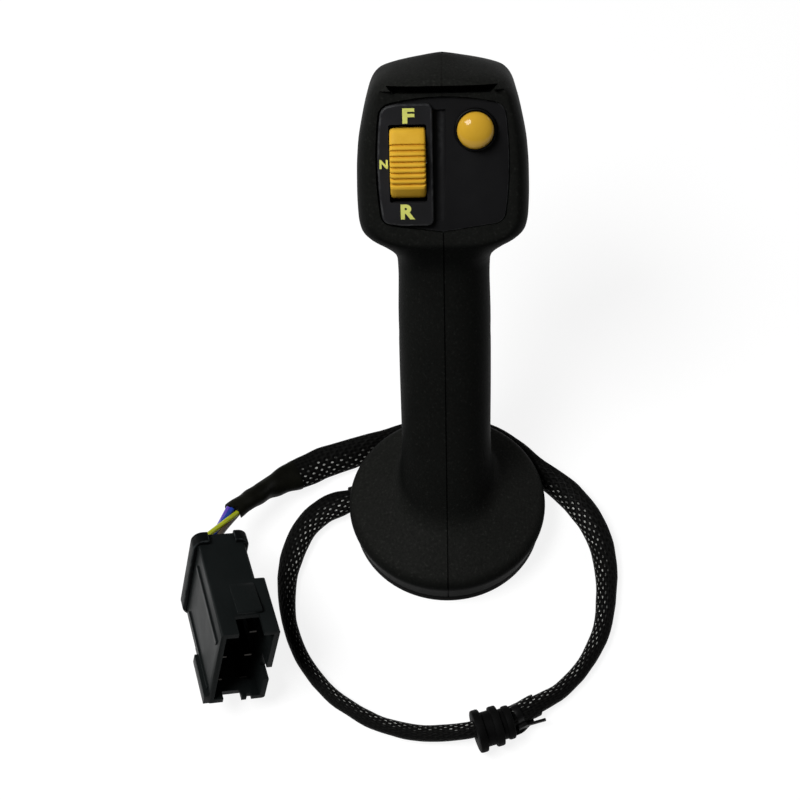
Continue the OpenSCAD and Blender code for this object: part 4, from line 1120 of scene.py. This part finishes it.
@dataclass
class ControlPanel:
    """Panel plate, the rocker's bezel and its printed marks."""

    places: Places
    thickness: float = 2.5
    bezel_h: float = 3.0
    button_hole_d: float = 12.2
    channel_u: float = -1.0
    channel_v: float = 20.3
    channel_half_w: float = 2.45
    channel_deep: float = 1.9
    channel_tilt: float = -2.3
    bezel_cuts: tuple[tuple[Point, Point], ...] = (
        ((-3.5, 0, 0), (1, 0, 0)), ((0, -22, 0), (0, -1, 0)),
        ((0, 22.8, 0), (0, 1, 0)), ((-24.5, 0, 0), (-1, 0, 0)))
    bezel_window: tuple[float, float] = (6.95, 14.3)
    mark_weight: float = 0.045
    marks: tuple[tuple[str, float, float, float, float], ...] = (
        ("F", -12.2, 18.5, 5.5, 4.4), ("N", -21.6, 1.1, 3.3, 3.1), ("R", -13.1, -16.6, 5.6, 5.3))

    def plate(self) -> None:
        """Plate with its window, its channel beside the bezel and the button's hole."""
        at = self.places.panel()
        bm = slab(PanelOutline().points(0), -self.thickness, 0, PANEL_CORNER)
        soften(bm, 0.45, 40, 3, lambda e: all(v.co.z > -0.01 for v in e.verts))
        obj = placed(bm, "control_panel_skin", at)
        hole, r = bmesh.new(), self.button_hole_d / 2
        bmesh.ops.create_cone(hole, cap_ends=True, segments=48, radius1=r, radius2=r, depth=8)
        window = slab([(-21.3, -20.3), (-4.1, -20.3), (-4.1, 21.5), (-21.3, 21.5)], -4, 3)
        carve(obj, [
            placed(window, "cut_window", at),
            placed(self.trough(), "cut_channel", at),
            placed(hole, "cut_button", at @ Matrix.Translation((*BUTTON_AT, 0))),
        ])
        self.paint_channel_highlight(obj)
        weigh(obj)
        settled(obj, Finishes.PANEL, "control_panel")

    def paint_channel_highlight(self, obj: bpy.types.Object) -> None:
        """Paint a highlight on the channel's floor, brightest near its head, by marking it for the panel's
        pale worn colour.
        """
        back = self.places.panel().inverted() @ Matrix.Scale(1 / MM, 4)
        bm = bmesh.new()
        bm.from_mesh(obj.data)
        edge = bm.loops.layers.float.get("edge")
        for face in bm.faces:
            middle = back @ face.calc_center_median()
            if -3.3 < middle.x < 1.3 and -1.95 < middle.z < -0.05:
                for loop in face.loops:
                    spot = back @ loop.vert.co
                    across = max(0.0, 1.0 - abs(spot.x + 0.7) / 1.5)
                    loop[edge] = across * min(1.0, max(0.1, (spot.y + 12) / 26))
        bm.to_mesh(obj.data)
        bm.free()

    def trough(self) -> bmesh.types.BMesh:
        """Solid of the channel beside the bezel, which runs out towards its foot."""
        half, head = self.channel_half_w, self.channel_v
        round_part = [math.pi + math.pi * i / 14 for i in range(15)]
        section = [(half * math.cos(t), self.channel_deep * math.sin(t)) for t in round_part]
        bm = slab(section + [(half, 3), (-half, 3)], 0, 41)
        for level in range(5, 31, 5):
            sliced(bm, (0, 0, level), (0, 0, 1))
        lying = Matrix.Translation((self.channel_u, head, 0)) @ Matrix.Rotation(math.radians(90), 4, "X")
        tilted = Matrix.Rotation(math.radians(self.channel_tilt), 4, "X")
        about_head = Matrix.Translation((0, head, 0)) @ tilted @ Matrix.Translation((0, -head, 0))
        bmesh.ops.transform(bm, matrix=about_head @ lying, verts=bm.verts)
        return bm

    def bezel(self) -> None:
        """Raised bezel round the rocker, cut from the panel's own outline."""
        bm = flat(PanelOutline().points(-0.7))
        for point, away in self.bezel_cuts:
            sliced(bm, point, away, clear=True)
        round_corners(bm, 2.4, 0.5)
        lift(bm, self.bezel_h)
        soften(bm, 0.75, 40, 4, lambda e: all(v.co.z > 0.1 for v in e.verts))
        obj = placed(bm, "rocker_bezel_skin", self.places.panel())
        (u, v, _), (w, h) = self.places.rocker_at, self.bezel_window
        window = slab([(u - w, v - h), (u + w, v - h), (u + w, v + h), (u - w, v + h)], -2, 6, 0.9)
        carve(obj, [placed(window, "cut_rocker", self.places.panel())])
        weigh(obj)
        settled(obj, Finishes.BEZEL, "rocker_bezel")

    def mark(self, letter: str, u: float, v: float, height: float, width: float) -> None:
        """Printed gear mark on the bezel.

        Args:
            letter: The mark.
            u: Middle of the mark across the panel.
            v: Middle of the mark up the panel.
            height: Height of the mark.
            width: Width of the mark.
        """
        curve = bpy.data.curves.new(f"mark_{letter}", "FONT")
        curve.body, curve.size, curve.offset, curve.extrude = letter, 1.0, self.mark_weight, 0.01
        source = bpy.data.objects.new(f"mark_{letter}", curve)
        bpy.context.scene.collection.objects.link(source)
        bpy.context.view_layer.update()
        graph = bpy.context.evaluated_depsgraph_get()
        mesh = bpy.data.meshes.new_from_object(source.evaluated_get(graph))
        bpy.data.objects.remove(source)
        bm = bmesh.new()
        bm.from_mesh(mesh)
        bmesh.ops.remove_doubles(bm, verts=bm.verts, dist=1e-5)
        xs, ys = [w.co.x for w in bm.verts], [w.co.y for w in bm.verts]
        sizes = (width / (max(xs) - min(xs)), height / (max(ys) - min(ys)), 3.0)
        middle = Vector(((max(xs) + min(xs)) / 2, (max(ys) + min(ys)) / 2, 0))
        bmesh.ops.translate(bm, vec=-middle, verts=bm.verts)
        bmesh.ops.scale(bm, vec=sizes, verts=bm.verts)
        bmesh.ops.recalc_face_normals(bm, faces=bm.faces)
        at = self.places.panel() @ Matrix.Translation((u, v, self.bezel_h))
        settled(placed(bm, f"gear_mark_{letter}", at), Finishes.PRINT)

    def build(self) -> None:
        """Build the plate, the bezel and its marks."""
        self.plate()
        self.bezel()
        for mark in self.marks:
            self.mark(*mark)


# ------------------------------------------------------------------ rocker and button


@dataclass
class DirectionRocker:
    """Thumb rocker with grip grooves across its crown."""

    places: Places
    length: float = 25.8
    crown_rise: float = 3.0
    crown_end: float = 8.2
    foot: float = 1.5
    pitch: float = 2.05
    grooves: int = 8
    groove_depth: float = 1.25
    groove_power: float = 2.6
    end_round: float = 1.5
    end_drop: float = 1.1
    low_end: float = -8.8
    low_slope: float = 0.58
    steps: int = 160
    across: tuple[Point, ...] = (
        (-6.6, 1.15), (-6.5, 0.7), (-6.2, 0.28), (-5.7, 0.05), (-4, 0), (0, 0), (4, 0), (5.7, 0.05),
        (6.2, 0.28), (6.5, 0.7), (6.6, 1.15))

    def crown(self, v: float) -> float:
        """Height of the crown above the pivot, grooves included."""
        half = self.length / 2
        r = (half * half + self.crown_rise**2) / (2 * self.crown_rise)
        base = self.crown_end + self.crown_rise - r + math.sqrt(r * r - v * v)
        reach = self.grooves * self.pitch / 2
        if abs(v) > reach:
            return base
        phase = math.cos(math.tau * (v + reach - self.pitch / 2) / self.pitch)
        return base - self.groove_depth * (0.5 + 0.5 * phase) ** self.groove_power

    def profile(self, inset: float) -> list[Point]:
        """Side outline of [up the panel, out of it] about the pivot, drawn in by an inset."""
        half = self.length / 2
        points = []
        for i in range(self.steps + 1):
            v = -half + self.length * i / self.steps
            edge = max(0.0, (abs(v) - (half - self.end_round)) / self.end_round)
            drop = self.end_drop * (1 - math.sqrt(max(0.0, 1 - edge * edge)))
            drop += self.low_slope * max(0.0, self.low_end - v)
            points.append((v * (half - inset) / half, self.crown(v) - drop - inset))
        points += [(half - inset, self.foot), (-(half - inset), self.foot)]
        return points

    def build(self) -> None:
        """Build the rocker on its pivot."""
        bm, _ = loft([[Vector((u, v, n)) for v, n in self.profile(inset)] for u, inset in self.across])
        at = self.places.panel() @ Matrix.Translation(self.places.rocker_at)
        obj = placed(bm, "direction_rocker_skin", at, 50)
        settled(obj, Finishes.ROCKER, "direction_rocker", Body.ROCKER)


@dataclass
class PushButton:
    """Domed cap on its stem, in a black collar."""

    places: Places
    cap_d: float = 13.5
    foot: float = 2.5
    skirt: float = 1.3
    top: float = 7.1
    collar_d: float = 15.8

    def spot(self) -> Matrix:
        """Frame of the button on the panel."""
        return self.places.panel() @ Matrix.Translation((*BUTTON_AT, 0))

    def cap(self) -> None:
        """Moulded cap: a rolled foot, a short skirt and a flattened dome."""
        r = self.cap_d / 2
        rise = self.top - self.foot - self.skirt
        foot, turns = self.foot, [math.pi / 2 * i / 20 for i in range(20)]
        inner = [(0, foot + 2.2), (4.3, foot + 2.2), (4.5, foot + 1.9), (4.5, foot + 0.1), (4.7, foot)]
        roll = [(r - 0.4, foot), (r - 0.1, foot + 0.12), (r, foot + 0.4)]
        dome = [(r * math.cos(t), foot + self.skirt + rise * math.sin(t)) for t in turns]
        obj = placed(turned(inner + roll + dome + [(0, self.top)], 72), "button_cap_skin", self.spot())
        settled(obj, Finishes.CAP, "button_cap", Body.BUTTON)

    def collar(self) -> None:
        """Threaded collar that holds the button in the panel."""
        r = self.collar_d / 2
        bore, well = 2.06, self.cap_d / 2 + 0.2
        threads = [(5.9 - (0.25 if i % 2 else 0.0), -0.4 - 0.4 * i) for i in range(21)]
        rim = [(5.9, 0), (r - 0.2, 0), (r, 0.25), (r, 1.2), (r - 0.35, 1.7), (r - 0.7, 1.8)]
        inside = [(well + 0.15, 1.8), (well, 1.65), (well, 0.4), (bore, 0.4)]
        bm = turned([(bore, 0.4), (bore, -9), (5.7, -9)] + threads[::-1] + rim + inside, 64)
        obj = placed(bm, "button_collar_skin", self.spot())
        settled(obj, Finishes.COLLAR, "button_collar")

    def build(self) -> None:
        """Build the cap and the collar."""
        self.cap()
        self.collar()


# ------------------------------------------------------------------ harness


@dataclass
class FlatTube:
    """Flat tube swept along a route of [x, y, z, width, thickness, turn]."""

    route: Sequence[Point]
    steps: int = 4
    sides: int = 36

    def path(self) -> list[Point]:
        """Smooth path through the route's points."""
        route, last = self.route, len(self.route) - 1
        found = []
        for i in range(last):
            a, b, c, d = (route[j] for j in (max(i - 1, 0), i, i + 1, min(i + 2, last)))
            for j in range(self.steps):
                t = j / self.steps
                found.append(tuple(
                    0.5 * (2 * q + (r - p) * t + (2 * p - 5 * q + 4 * r - s) * t * t
                           + (3 * q - p - 3 * r + s) * t**3)
                    for p, q, r, s in zip(a, b, c, d)))
        return found + [tuple(route[last])]

    def ring(self, path: Sequence[Point], i: int, wave: float = 0.0) -> list[Vector]:
        """Ring of the tube, square to the path."""
        here = Vector(path[i][:3])
        after, before = path[min(i + 1, len(path) - 1)], path[max(i - 1, 0)]
        along = (Vector(after[:3]) - Vector(before[:3])).normalized()
        level = Vector((0, 0, 1)).cross(along).normalized()
        upward = along.cross(level)
        turn = math.radians(path[i][5])
        w = level * math.cos(turn) + upward * math.sin(turn)
        h = upward * math.cos(turn) - level * math.sin(turn)
        ring = []
        for k in range(self.sides):
            t = math.tau * k / self.sides
            c, s = math.cos(t), math.sin(t)
            flat = math.copysign(abs(s) ** 0.85, s)
            p = here + w * (path[i][3] / 2 * c) + h * (path[i][4] / 2 * flat)
            if wave:
                p += (p - here).normalized() * wave * (noise.noise(p * 0.16) - 0.15)
            ring.append(p)
        return ring

    def length(self) -> float:
        """Length of the path."""
        path = self.path()
        return sum((Vector(b[:3]) - Vector(a[:3])).length for a, b in zip(path, path[1:]))

    def mesh(self, wave: float = 0.0) -> bmesh.types.BMesh:
        """Closed tube with its own map: once round across, metres along."""
        path = self.path()
        bm, rings = loft([self.ring(path, i, wave) for i in range(len(path))])
        run, runs = 0.0, [0.0]
        for a, b in zip(path, path[1:]):
            run += (Vector(b[:3]) - Vector(a[:3])).length * MM
            runs.append(run)
        layer = bm.loops.layers.uv.new("sleeve")
        place = {v: (k / self.sides, runs[i]) for i, ring in enumerate(rings) for k, v in enumerate(ring)}
        for face in bm.faces:
            us = [place[v][0] for v in face.verts]
            wrap = len(us) == 4 and max(us) - min(us) > 0.5
            for loop in face.loops:
                u, v = place[loop.vert]
                loop[layer].uv = (u + 1 if wrap and u < 0.5 else u, v)
        return bm


@dataclass
class Harness:
    """Braided sleeve from the flange to the plug, with the pieces on it."""

    diameter: float = 9.0
    grommet_len: float = 15.2
    grommet_d: float = 17.0
    route: tuple[Point, ...] = (
        (-34, 9.5, 5, 9.8, 6.4, 0), (-41.5, 7, 5, 9.8, 6.4, 0), (-48, 4.5, 5, 12.4, 6.4, 0),
        (-55, 1, 4.6, 12, 6.4, 0), (-61.5, -6, 4.2, 11.2, 6.2, 0), (-66, -16, 3.8, 10.6, 6, 0),
        (-68.5, -28, 3.5, 9.2, 6, 0), (-68.5, -39, 3.4, 7.7, 6, 0), (-67, -50.5, 3.3, 6.4, 6, 0),
        (-63.5, -61, 3.3, 6.2, 6, 0), (-58, -71.5, 3.3, 6.2, 6, 0), (-49, -82.5, 3.3, 6.2, 6, 0),
        (-40, -89.5, 3.3, 6.2, 6, 0), (-30.5, -95, 3.4, 6.2, 6, 0), (-20.5, -98.5, 3.7, 6.2, 6, 0),
        (-10.5, -100.5, 4.8, 6.4, 6, 0), (-0.5, -101, 6.4, 6.6, 6, 0), (8, -100.5, 7.9, 6.6, 6, 0),
        (16.5, -98.4, 8.5, 6.4, 6, 0), (25, -94.8, 7.8, 6.8, 6, 0), (34.5, -89, 5, 7.4, 6, 0),
        (43.5, -83.5, 3.7, 6.8, 6, 0), (49, -78.5, 3.5, 6.6, 6, 0), (54, -73, 3.5, 6.6, 6, 0),
        (60.5, -62.5, 3.5, 7, 6, 0), (64.5, -52, 3.6, 7.8, 6, 0), (67, -35, 3.7, 9, 6, 0),
        (67, -24, 4, 10.2, 6, -5), (65.5, -14.5, 4.4, 10.8, 6, -12), (62, -5, 5.2, 11.6, 6, -20),
        (57, 3, 5.8, 12.2, 6, -30), (50, 11, 6.4, 12.4, 6, -45), (41, 19.5, 6.6, 12.4, 6, -70),
        (33, 30, 6.2, 11.4, 6, -85), (22, 38.8, 6.2, 11.4, 6, -90), (9, 43.8, 6.2, 11.4, 6, -90),
        (-5, 44.3, 6.2, 11.4, 6, -90), (-18, 40.8, 6.4, 11.8, 6, -85), (-28.5, 35.5, 6.8, 12.6, 6, -70),
        (-38, 31.5, 6.8, 13.4, 6, -50), (-48, 27.5, 7, 13.8, 6.2, -38), (-55.5, 24.5, 7.4, 14, 6.2, -32),
        (-61.5, 20.5, 8.2, 14, 6.4, -25), (-68, 16.5, 10, 13, 6.6, -20))
    shrink: tuple[Point, ...] = (
        (-66.5, 17.2, 9.6, 13.6, 8, -20), (-71, 14, 11, 12.2, 8, -18), (-75.5, 10, 13, 10.2, 8, -15),
        (-79.5, 6, 15.2, 9.2, 8, -10), (-83.5, 1.5, 17.6, 8.8, 8, -5), (-87.5, -3, 19.8, 8.4, 7.6, 0),
        (-91.5, -8, 21.8, 8.4, 7.2, 0))
    tail: tuple[Point, ...] = (
        (23.6, -99, 4.6, 7, 2), (27.5, -98, 4.2, 5.6, 1.8), (31, -96, 3.6, 3.4, 1.4),
        (33.5, -94.8, 3.2, 1.6, 1))
    cuff: tuple[Point, ...] = (
        (17, -98.2, 8.5, 6.4, 6), (21, -96.5, 8.3, 6.5, 6), (25, -94.8, 7.8, 6.8, 6),
        (30, -91.8, 6.3, 7.1, 6), (34.5, -89, 5, 7.4, 6))

    def sleeve(self, pieces: list[bpy.types.Object]) -> None:
        """Braided sleeve, in place of the cord's solid."""
        tube = FlatTube(self.route)
        obj = placed(tube.mesh(0.25), "braided_sleeve", sharp=SLEEVE_SHARP)
        settled(obj, Finishes.SLEEVE, "cord")
        tube.length() * MM

    def slot_grommet(self) -> bpy.types.Object:
        """Slotted rubber grommet: two deep discs, a smaller one and the grooves between them."""
        half, first = self.grommet_len / 2, self.grommet_d / 2
        second, third = first - 0.5, first - 1.8

        def disc(r: float, low: float, high: float) -> list[Point]:
            """Outline of one disc, with its rims rounded off."""
            side = [(r - 0.7, 0.0), (r - 0.2, 0.2), (r, 0.7)]
            return [(x, low + y) for x, y in side] + [(x, high - y) for x, y in side[::-1]]

        profile = [(3, -half + 0.1), (3.5, -half)] + disc(first, -half, -half + 3.3)
        profile += [(first - 1.6, -half + 3.5), (first - 1.6, -half + 6.8)]
        profile += disc(second, -half + 7, -half + 10.3)
        profile += [(second - 1.9, -half + 10.5), (second - 1.9, -half + 12.1)]
        profile += disc(third, -half + 12.3, half)
        profile += [(3.5, half), (3, half - 0.1), (3, -half + 0.1)]
        heading = Matrix.Rotation(math.radians(17), 4, "Z") @ Matrix.Rotation(math.pi / 2, 4, "Y")
        turn = Matrix.Translation(centre_of("slot_grommet")) @ heading
        obj = placed(turned(profile, 56), "slot_grommet_skin", turn)
        return settled(obj, Finishes.RUBBER, "slot_grommet")

    def sleeve_end(self) -> bpy.types.Object:
        """Loose end of the sleeve's tape, folded out behind the grommet."""
        path = [(x, y, z, w, t, 0) for x, y, z, w, t in self.tail]
        tube = FlatTube(path, 4, 24)
        obj = placed(tube.mesh(0.3), "sleeve_tail_skin", sharp=SLEEVE_SHARP)
        return settled(obj, Finishes.TAPE, "sleeve_tail")

    def sleeve_cuff(self) -> bpy.types.Object:
        """Cut end of the outer sleeve, open and slanted, just past the grommet."""
        route = [(x, y, z, w + 1.9, t + 1.5, 0) for x, y, z, w, t in self.cuff]
        obj = placed(FlatTube(route, 5, 28).mesh(0.6), "sleeve_cuff", sharp=SLEEVE_SHARP)
        end = Matrix.Translation((self.cuff[-1][0] + 6.2, self.cuff[-1][1], 8))
        carve(obj, [block((8, 16, 24), "cut_cuff", end @ Matrix.Rotation(math.radians(58), 4, "Z"))])
        return settled(obj, Finishes.SLEEVE)

    def shrink_tube(self) -> bpy.types.Object:
        """Heat-shrink tube with a slanted end."""
        obj = placed(FlatTube(self.shrink, 5, 40).mesh(0.7), "heat_shrink_skin", sharp=SLEEVE_SHARP)
        turn = Matrix.Translation(WIRE_START) @ Matrix.Rotation(math.radians(20), 4, "Z")
        carve(obj, [block((12, 12, 20), "cut_shrink", turn @ Matrix.Translation((-4, -6, 0)))])
        return settled(obj, Finishes.SHRINK, "heat_shrink")

    def build(self, others: list[bpy.types.Object]) -> None:
        """Build the harness.

        Args:
            others: Pieces of the plug, passed on to the sleeve, which does not use them.
        """
        tie = Rounded("cord_tie", Finishes.TIE, edge=0.2).build()
        ends = [self.slot_grommet(), tie, self.sleeve_end(), self.sleeve_cuff(), self.shrink_tube()]
        self.sleeve([*ends, *others])


# ------------------------------------------------------------------ plug


@dataclass
class Plug:
    """Six-way plug at the end of the harness."""

    place: Point = (-85.1, -90, 14)
    yaw: float = 17.7
    nose_up: float = 11.0
    roll: float = 18.0
    rear: float = 52.0
    wire_d: float = 2.3
    holes: tuple[Point, ...] = ((-7, 35.1), (3, 35.1), (-7, 21), (3, 21), (-7, 6.9))
    bundle: tuple[Point, ...] = (
        (1.7, -1.5, 0.8), (1.3, -0.6, -1.6), (-0.5, 0.1, 1.3), (-2.3, 1.9, -0.2), (-1.9, 0.9, 1.5))

    def frame(self) -> Matrix:
        """Frame of the plug: x right of the mouth, y to the rear, z up."""
        heading = Matrix.Rotation(math.radians(self.yaw), 4, "Z")
        turn = heading @ Matrix.Rotation(math.radians(-self.nose_up), 4, "X")
        return Matrix.Translation(self.place) @ turn @ Matrix.Rotation(math.radians(self.roll), 4, "Y")

    def wires(self) -> list[bpy.types.Object]:
        """Wires that fan out of the heat shrink into the plug's rear holes, each in its own colour."""
        at, made = self.frame(), []
        for (x, z), offset, finish in zip(self.holes, self.bundle, Finishes.WIRES):
            route = [Vector(WIRE_START) + Vector(offset)]
            route += [at @ Vector(p) for p in (
                (x * 0.6 - 1, self.rear + 8, z * 0.6 + 10), (x, self.rear + 1.5, z), (x, self.rear - 4, z))]
            tube = FlatTube([(*p, self.wire_d, self.wire_d, 0) for p in route], 8, 16)
            obj = placed(tube.mesh(), finish.name, sharp=SLEEVE_SHARP)
            made.append(settled(obj, finish, "plug_wires"))
        return made

    def build(self) -> list[bpy.types.Object]:
        """Build the plug.

        Returns:
            Its pieces, with the nodes that are carried over.
        """
        made = [
            Rounded("plug_housing", Finishes.PLUG, edge=0.55, segments=3).build(),
            Rounded("plug_rear_collar", Finishes.PLUG_COLLAR, edge=0.5, segments=3).build(),
            Rounded("plug_lock_wedge", Finishes.LOCK).build(),
            *self.wires(),
        ]
        return made + [frame["nodes"]["plug_pins"], frame["nodes"]["plug_seal"]]


# ------------------------------------------------------------------ pieces kept from the solids


@dataclass
class Internals:
    """Hard pieces whose solids stay, each with its finish, and a few that get rounded edges."""

    kept: dict[str, Finish] = field(default_factory=lambda: {
        "ring_screws": Finishes.ZINC, "set_screws": Finishes.BLACK_STEEL,
        "shell_screws": Finishes.BLACK_STEEL, "cross_nut": Finishes.ZINC, "rocker_pin": Finishes.BRIGHT,
        "detent_plunger": Finishes.ACETAL, "detent_cam": Finishes.ACETAL,
        "rocker_switch_body": Finishes.SWITCH,
        "rocker_terminals": Finishes.BRASS, "button_stem": Finishes.ACETAL, "button_spring": Finishes.BRIGHT,
        "button_washer": Finishes.ZINC, "button_nut": Finishes.ZINC, "button_switch_body": Finishes.SWITCH,
        "button_terminals": Finishes.BRASS, "main_leads": Finishes.LEAD_BLACK,
        "rocker_leads": Finishes.LEAD_BROWN,
        "button_leads": Finishes.LEAD_VIOLET, "plug_pins": Finishes.SHADED_TIN, "plug_seal": Finishes.SEAL})
    rounded: tuple[Rounded, ...] = (
        Rounded("base_ring", Finishes.RING, edge=0.4),
        Rounded("lever_socket", Finishes.SOCKET, edge=0.4),
        Rounded("cross_bolt", Finishes.BLACK_STEEL, edge=0.25),
        Rounded("exit_grommet", Finishes.RUBBER))

    def build(self) -> None:
        """Dress the kept solids and build the rounded ones."""
        for node, finish in self.kept.items():
            finish.dress(frame["nodes"][node])
        LOG.info("%d solids dressed", len(self.kept))
        for piece in self.rounded:
            piece.build()


# ------------------------------------------------------------------ studio


@dataclass
class Studio:
    """Floor, soft lamps, world and camera."""

    eye: Point = (0.0, -0.310, 0.55494)
    focal: float = 64.73
    pitch: float = 56.10
    yaw: float = 1.82
    roll: float = 0.75
    aim: Point = (0, 0, 0.08)

    def camera(self) -> None:
        """Camera above the front of the part, looking down at it."""
        data = bpy.data.cameras.new("studio_camera")
        data.lens, data.sensor_width, data.sensor_fit = self.focal, 36.0, "HORIZONTAL"
        data.clip_start, data.clip_end = 0.02, 20.0
        p, y, r = (math.radians(a) for a in (self.pitch, self.yaw, self.roll))
        right = Vector((1, 0, 0))
        ahead, up = Vector((0, math.cos(p), -math.sin(p))), Vector((0, math.sin(p), math.cos(p)))
        look, side = ahead * math.cos(y) - right * math.sin(y), right * math.cos(y) + ahead * math.sin(y)
        rolled = (side * math.cos(r) - up * math.sin(r), side * math.sin(r) + up * math.cos(r))
        axes = Matrix((*rolled, -look)).transposed()
        obj = bpy.data.objects.new("studio_camera", data)
        obj.matrix_world = Matrix.Translation(self.eye) @ axes.to_4x4()
        bpy.context.scene.collection.objects.link(obj)
        bpy.context.scene.camera = obj

    def seen(self, w: Wiring) -> bpy.types.NodeSocket:
        """One where the camera, a gloss or a clear body looks at a surface."""
        rays = w.add("ShaderNodeLightPath").outputs
        both = w.math("MAXIMUM", rays["Is Camera Ray"], rays["Is Glossy Ray"])
        return w.math("MAXIMUM", both, rays["Is Transmission Ray"])

    def floor(self) -> None:
        """Pale floor that keeps the part's shadow."""
        bm = bmesh.new()
        bmesh.ops.create_circle(bm, cap_ends=True, radius=4000, segments=96)
        obj = placed(bm, "floor", Matrix.Translation((0, 0, -0.15)))
        mat = bpy.data.materials.new("floor_white")
        mat.use_nodes = True
        w = Wiring(mat.node_tree)
        mat.node_tree.nodes.remove(mat.node_tree.nodes["Principled BSDF"])
        diffuse = w.add("ShaderNodeBsdfDiffuse", None, Color=(0.2, 0.2, 0.2, 1))
        spot = w.add("ShaderNodeTexCoord").outputs["Object"]
        away = w.add("ShaderNodeVectorMath", {"operation": "LENGTH"}, n0=spot)
        bright = w.remap(away.outputs["Value"], 0.4, 1.6, 0.86, 0.99)
        strength = w.math("MULTIPLY", self.seen(w), bright)
        glow = w.add("ShaderNodeEmission", None, Color=(1, 1, 1, 1), Strength=strength)
        both = w.add("ShaderNodeAddShader", None, n0=diffuse.outputs[0], n1=glow.outputs[0])
        w.put(mat.node_tree.nodes["Material Output"].inputs["Surface"], both.outputs[0])
        obj.data.materials.append(mat)

    def world(self) -> None:
        """White room that darkens towards the horizon for the light it sheds."""
        world = bpy.data.worlds.new("studio_world")
        bpy.context.scene.world = world
        world.use_nodes = True
        w = Wiring(world.node_tree)
        back = world.node_tree.nodes["Background"]
        way = w.add("ShaderNodeTexCoord").outputs["Generated"]
        up = w.add("ShaderNodeSeparateXYZ", None, n0=way).outputs["Z"]
        glow = w.remap(up, 0.1, 0.95, 0.03, 0.13)
        camera = w.add("ShaderNodeLightPath").outputs["Is Camera Ray"]
        w.put(back.inputs["Strength"], w.math("MAXIMUM", glow, camera))
        back.inputs["Color"].default_value = (1, 1, 1, 1)

    def lamp(self, light: Light, place: Point, width: float, height: float, power: float) -> None:
        """Soft rectangular lamp.

        Args:
            light: Which lamp it is.
            place: Where it stands.
            width: Width of the lamp.
            height: Height of the lamp.
            power: Power of the lamp.
        """
        data = bpy.data.lights.new(light.value, "AREA")
        data.shape, data.size, data.size_y, data.energy = "RECTANGLE", width, height, power
        obj = bpy.data.objects.new(light.value, data)
        way = Vector(self.aim) - Vector(place)
        obj.matrix_world = Matrix.Translation(place) @ way.to_track_quat("-Z", "Y").to_matrix().to_4x4()
        bpy.context.scene.collection.objects.link(obj)

    def build(self) -> None:
        """Set the studio up."""
        bpy.context.scene.view_settings.view_transform = "Standard"
        self.camera()
        self.floor()
        self.world()
        self.lamp(Light.KEY, (-0.46, -0.25, 1.03), 0.5, 0.35, 10.4)
        self.lamp(Light.FILL, (-0.95, 0.5, 0.36), 0.3, 0.6, 2.6)
        self.lamp(Light.REAR, (0.8, 0.75, 0.3), 0.3, 0.6, 2.2)
        LOG.info("studio ready")


def main() -> None:
    """Build the scene in order."""
    logging.basicConfig(level=logging.INFO, format="%(name)s: %(message)s")
    places = Places()
    Studio().build()
    GripShell(places).build()
    ControlPanel(places).build()
    DirectionRocker(places).build()
    PushButton(places).build()
    Internals().build()
    Harness().build(Plug().build())
    bpy.context.view_layer.update()


if __name__ == "__main__":
    main()
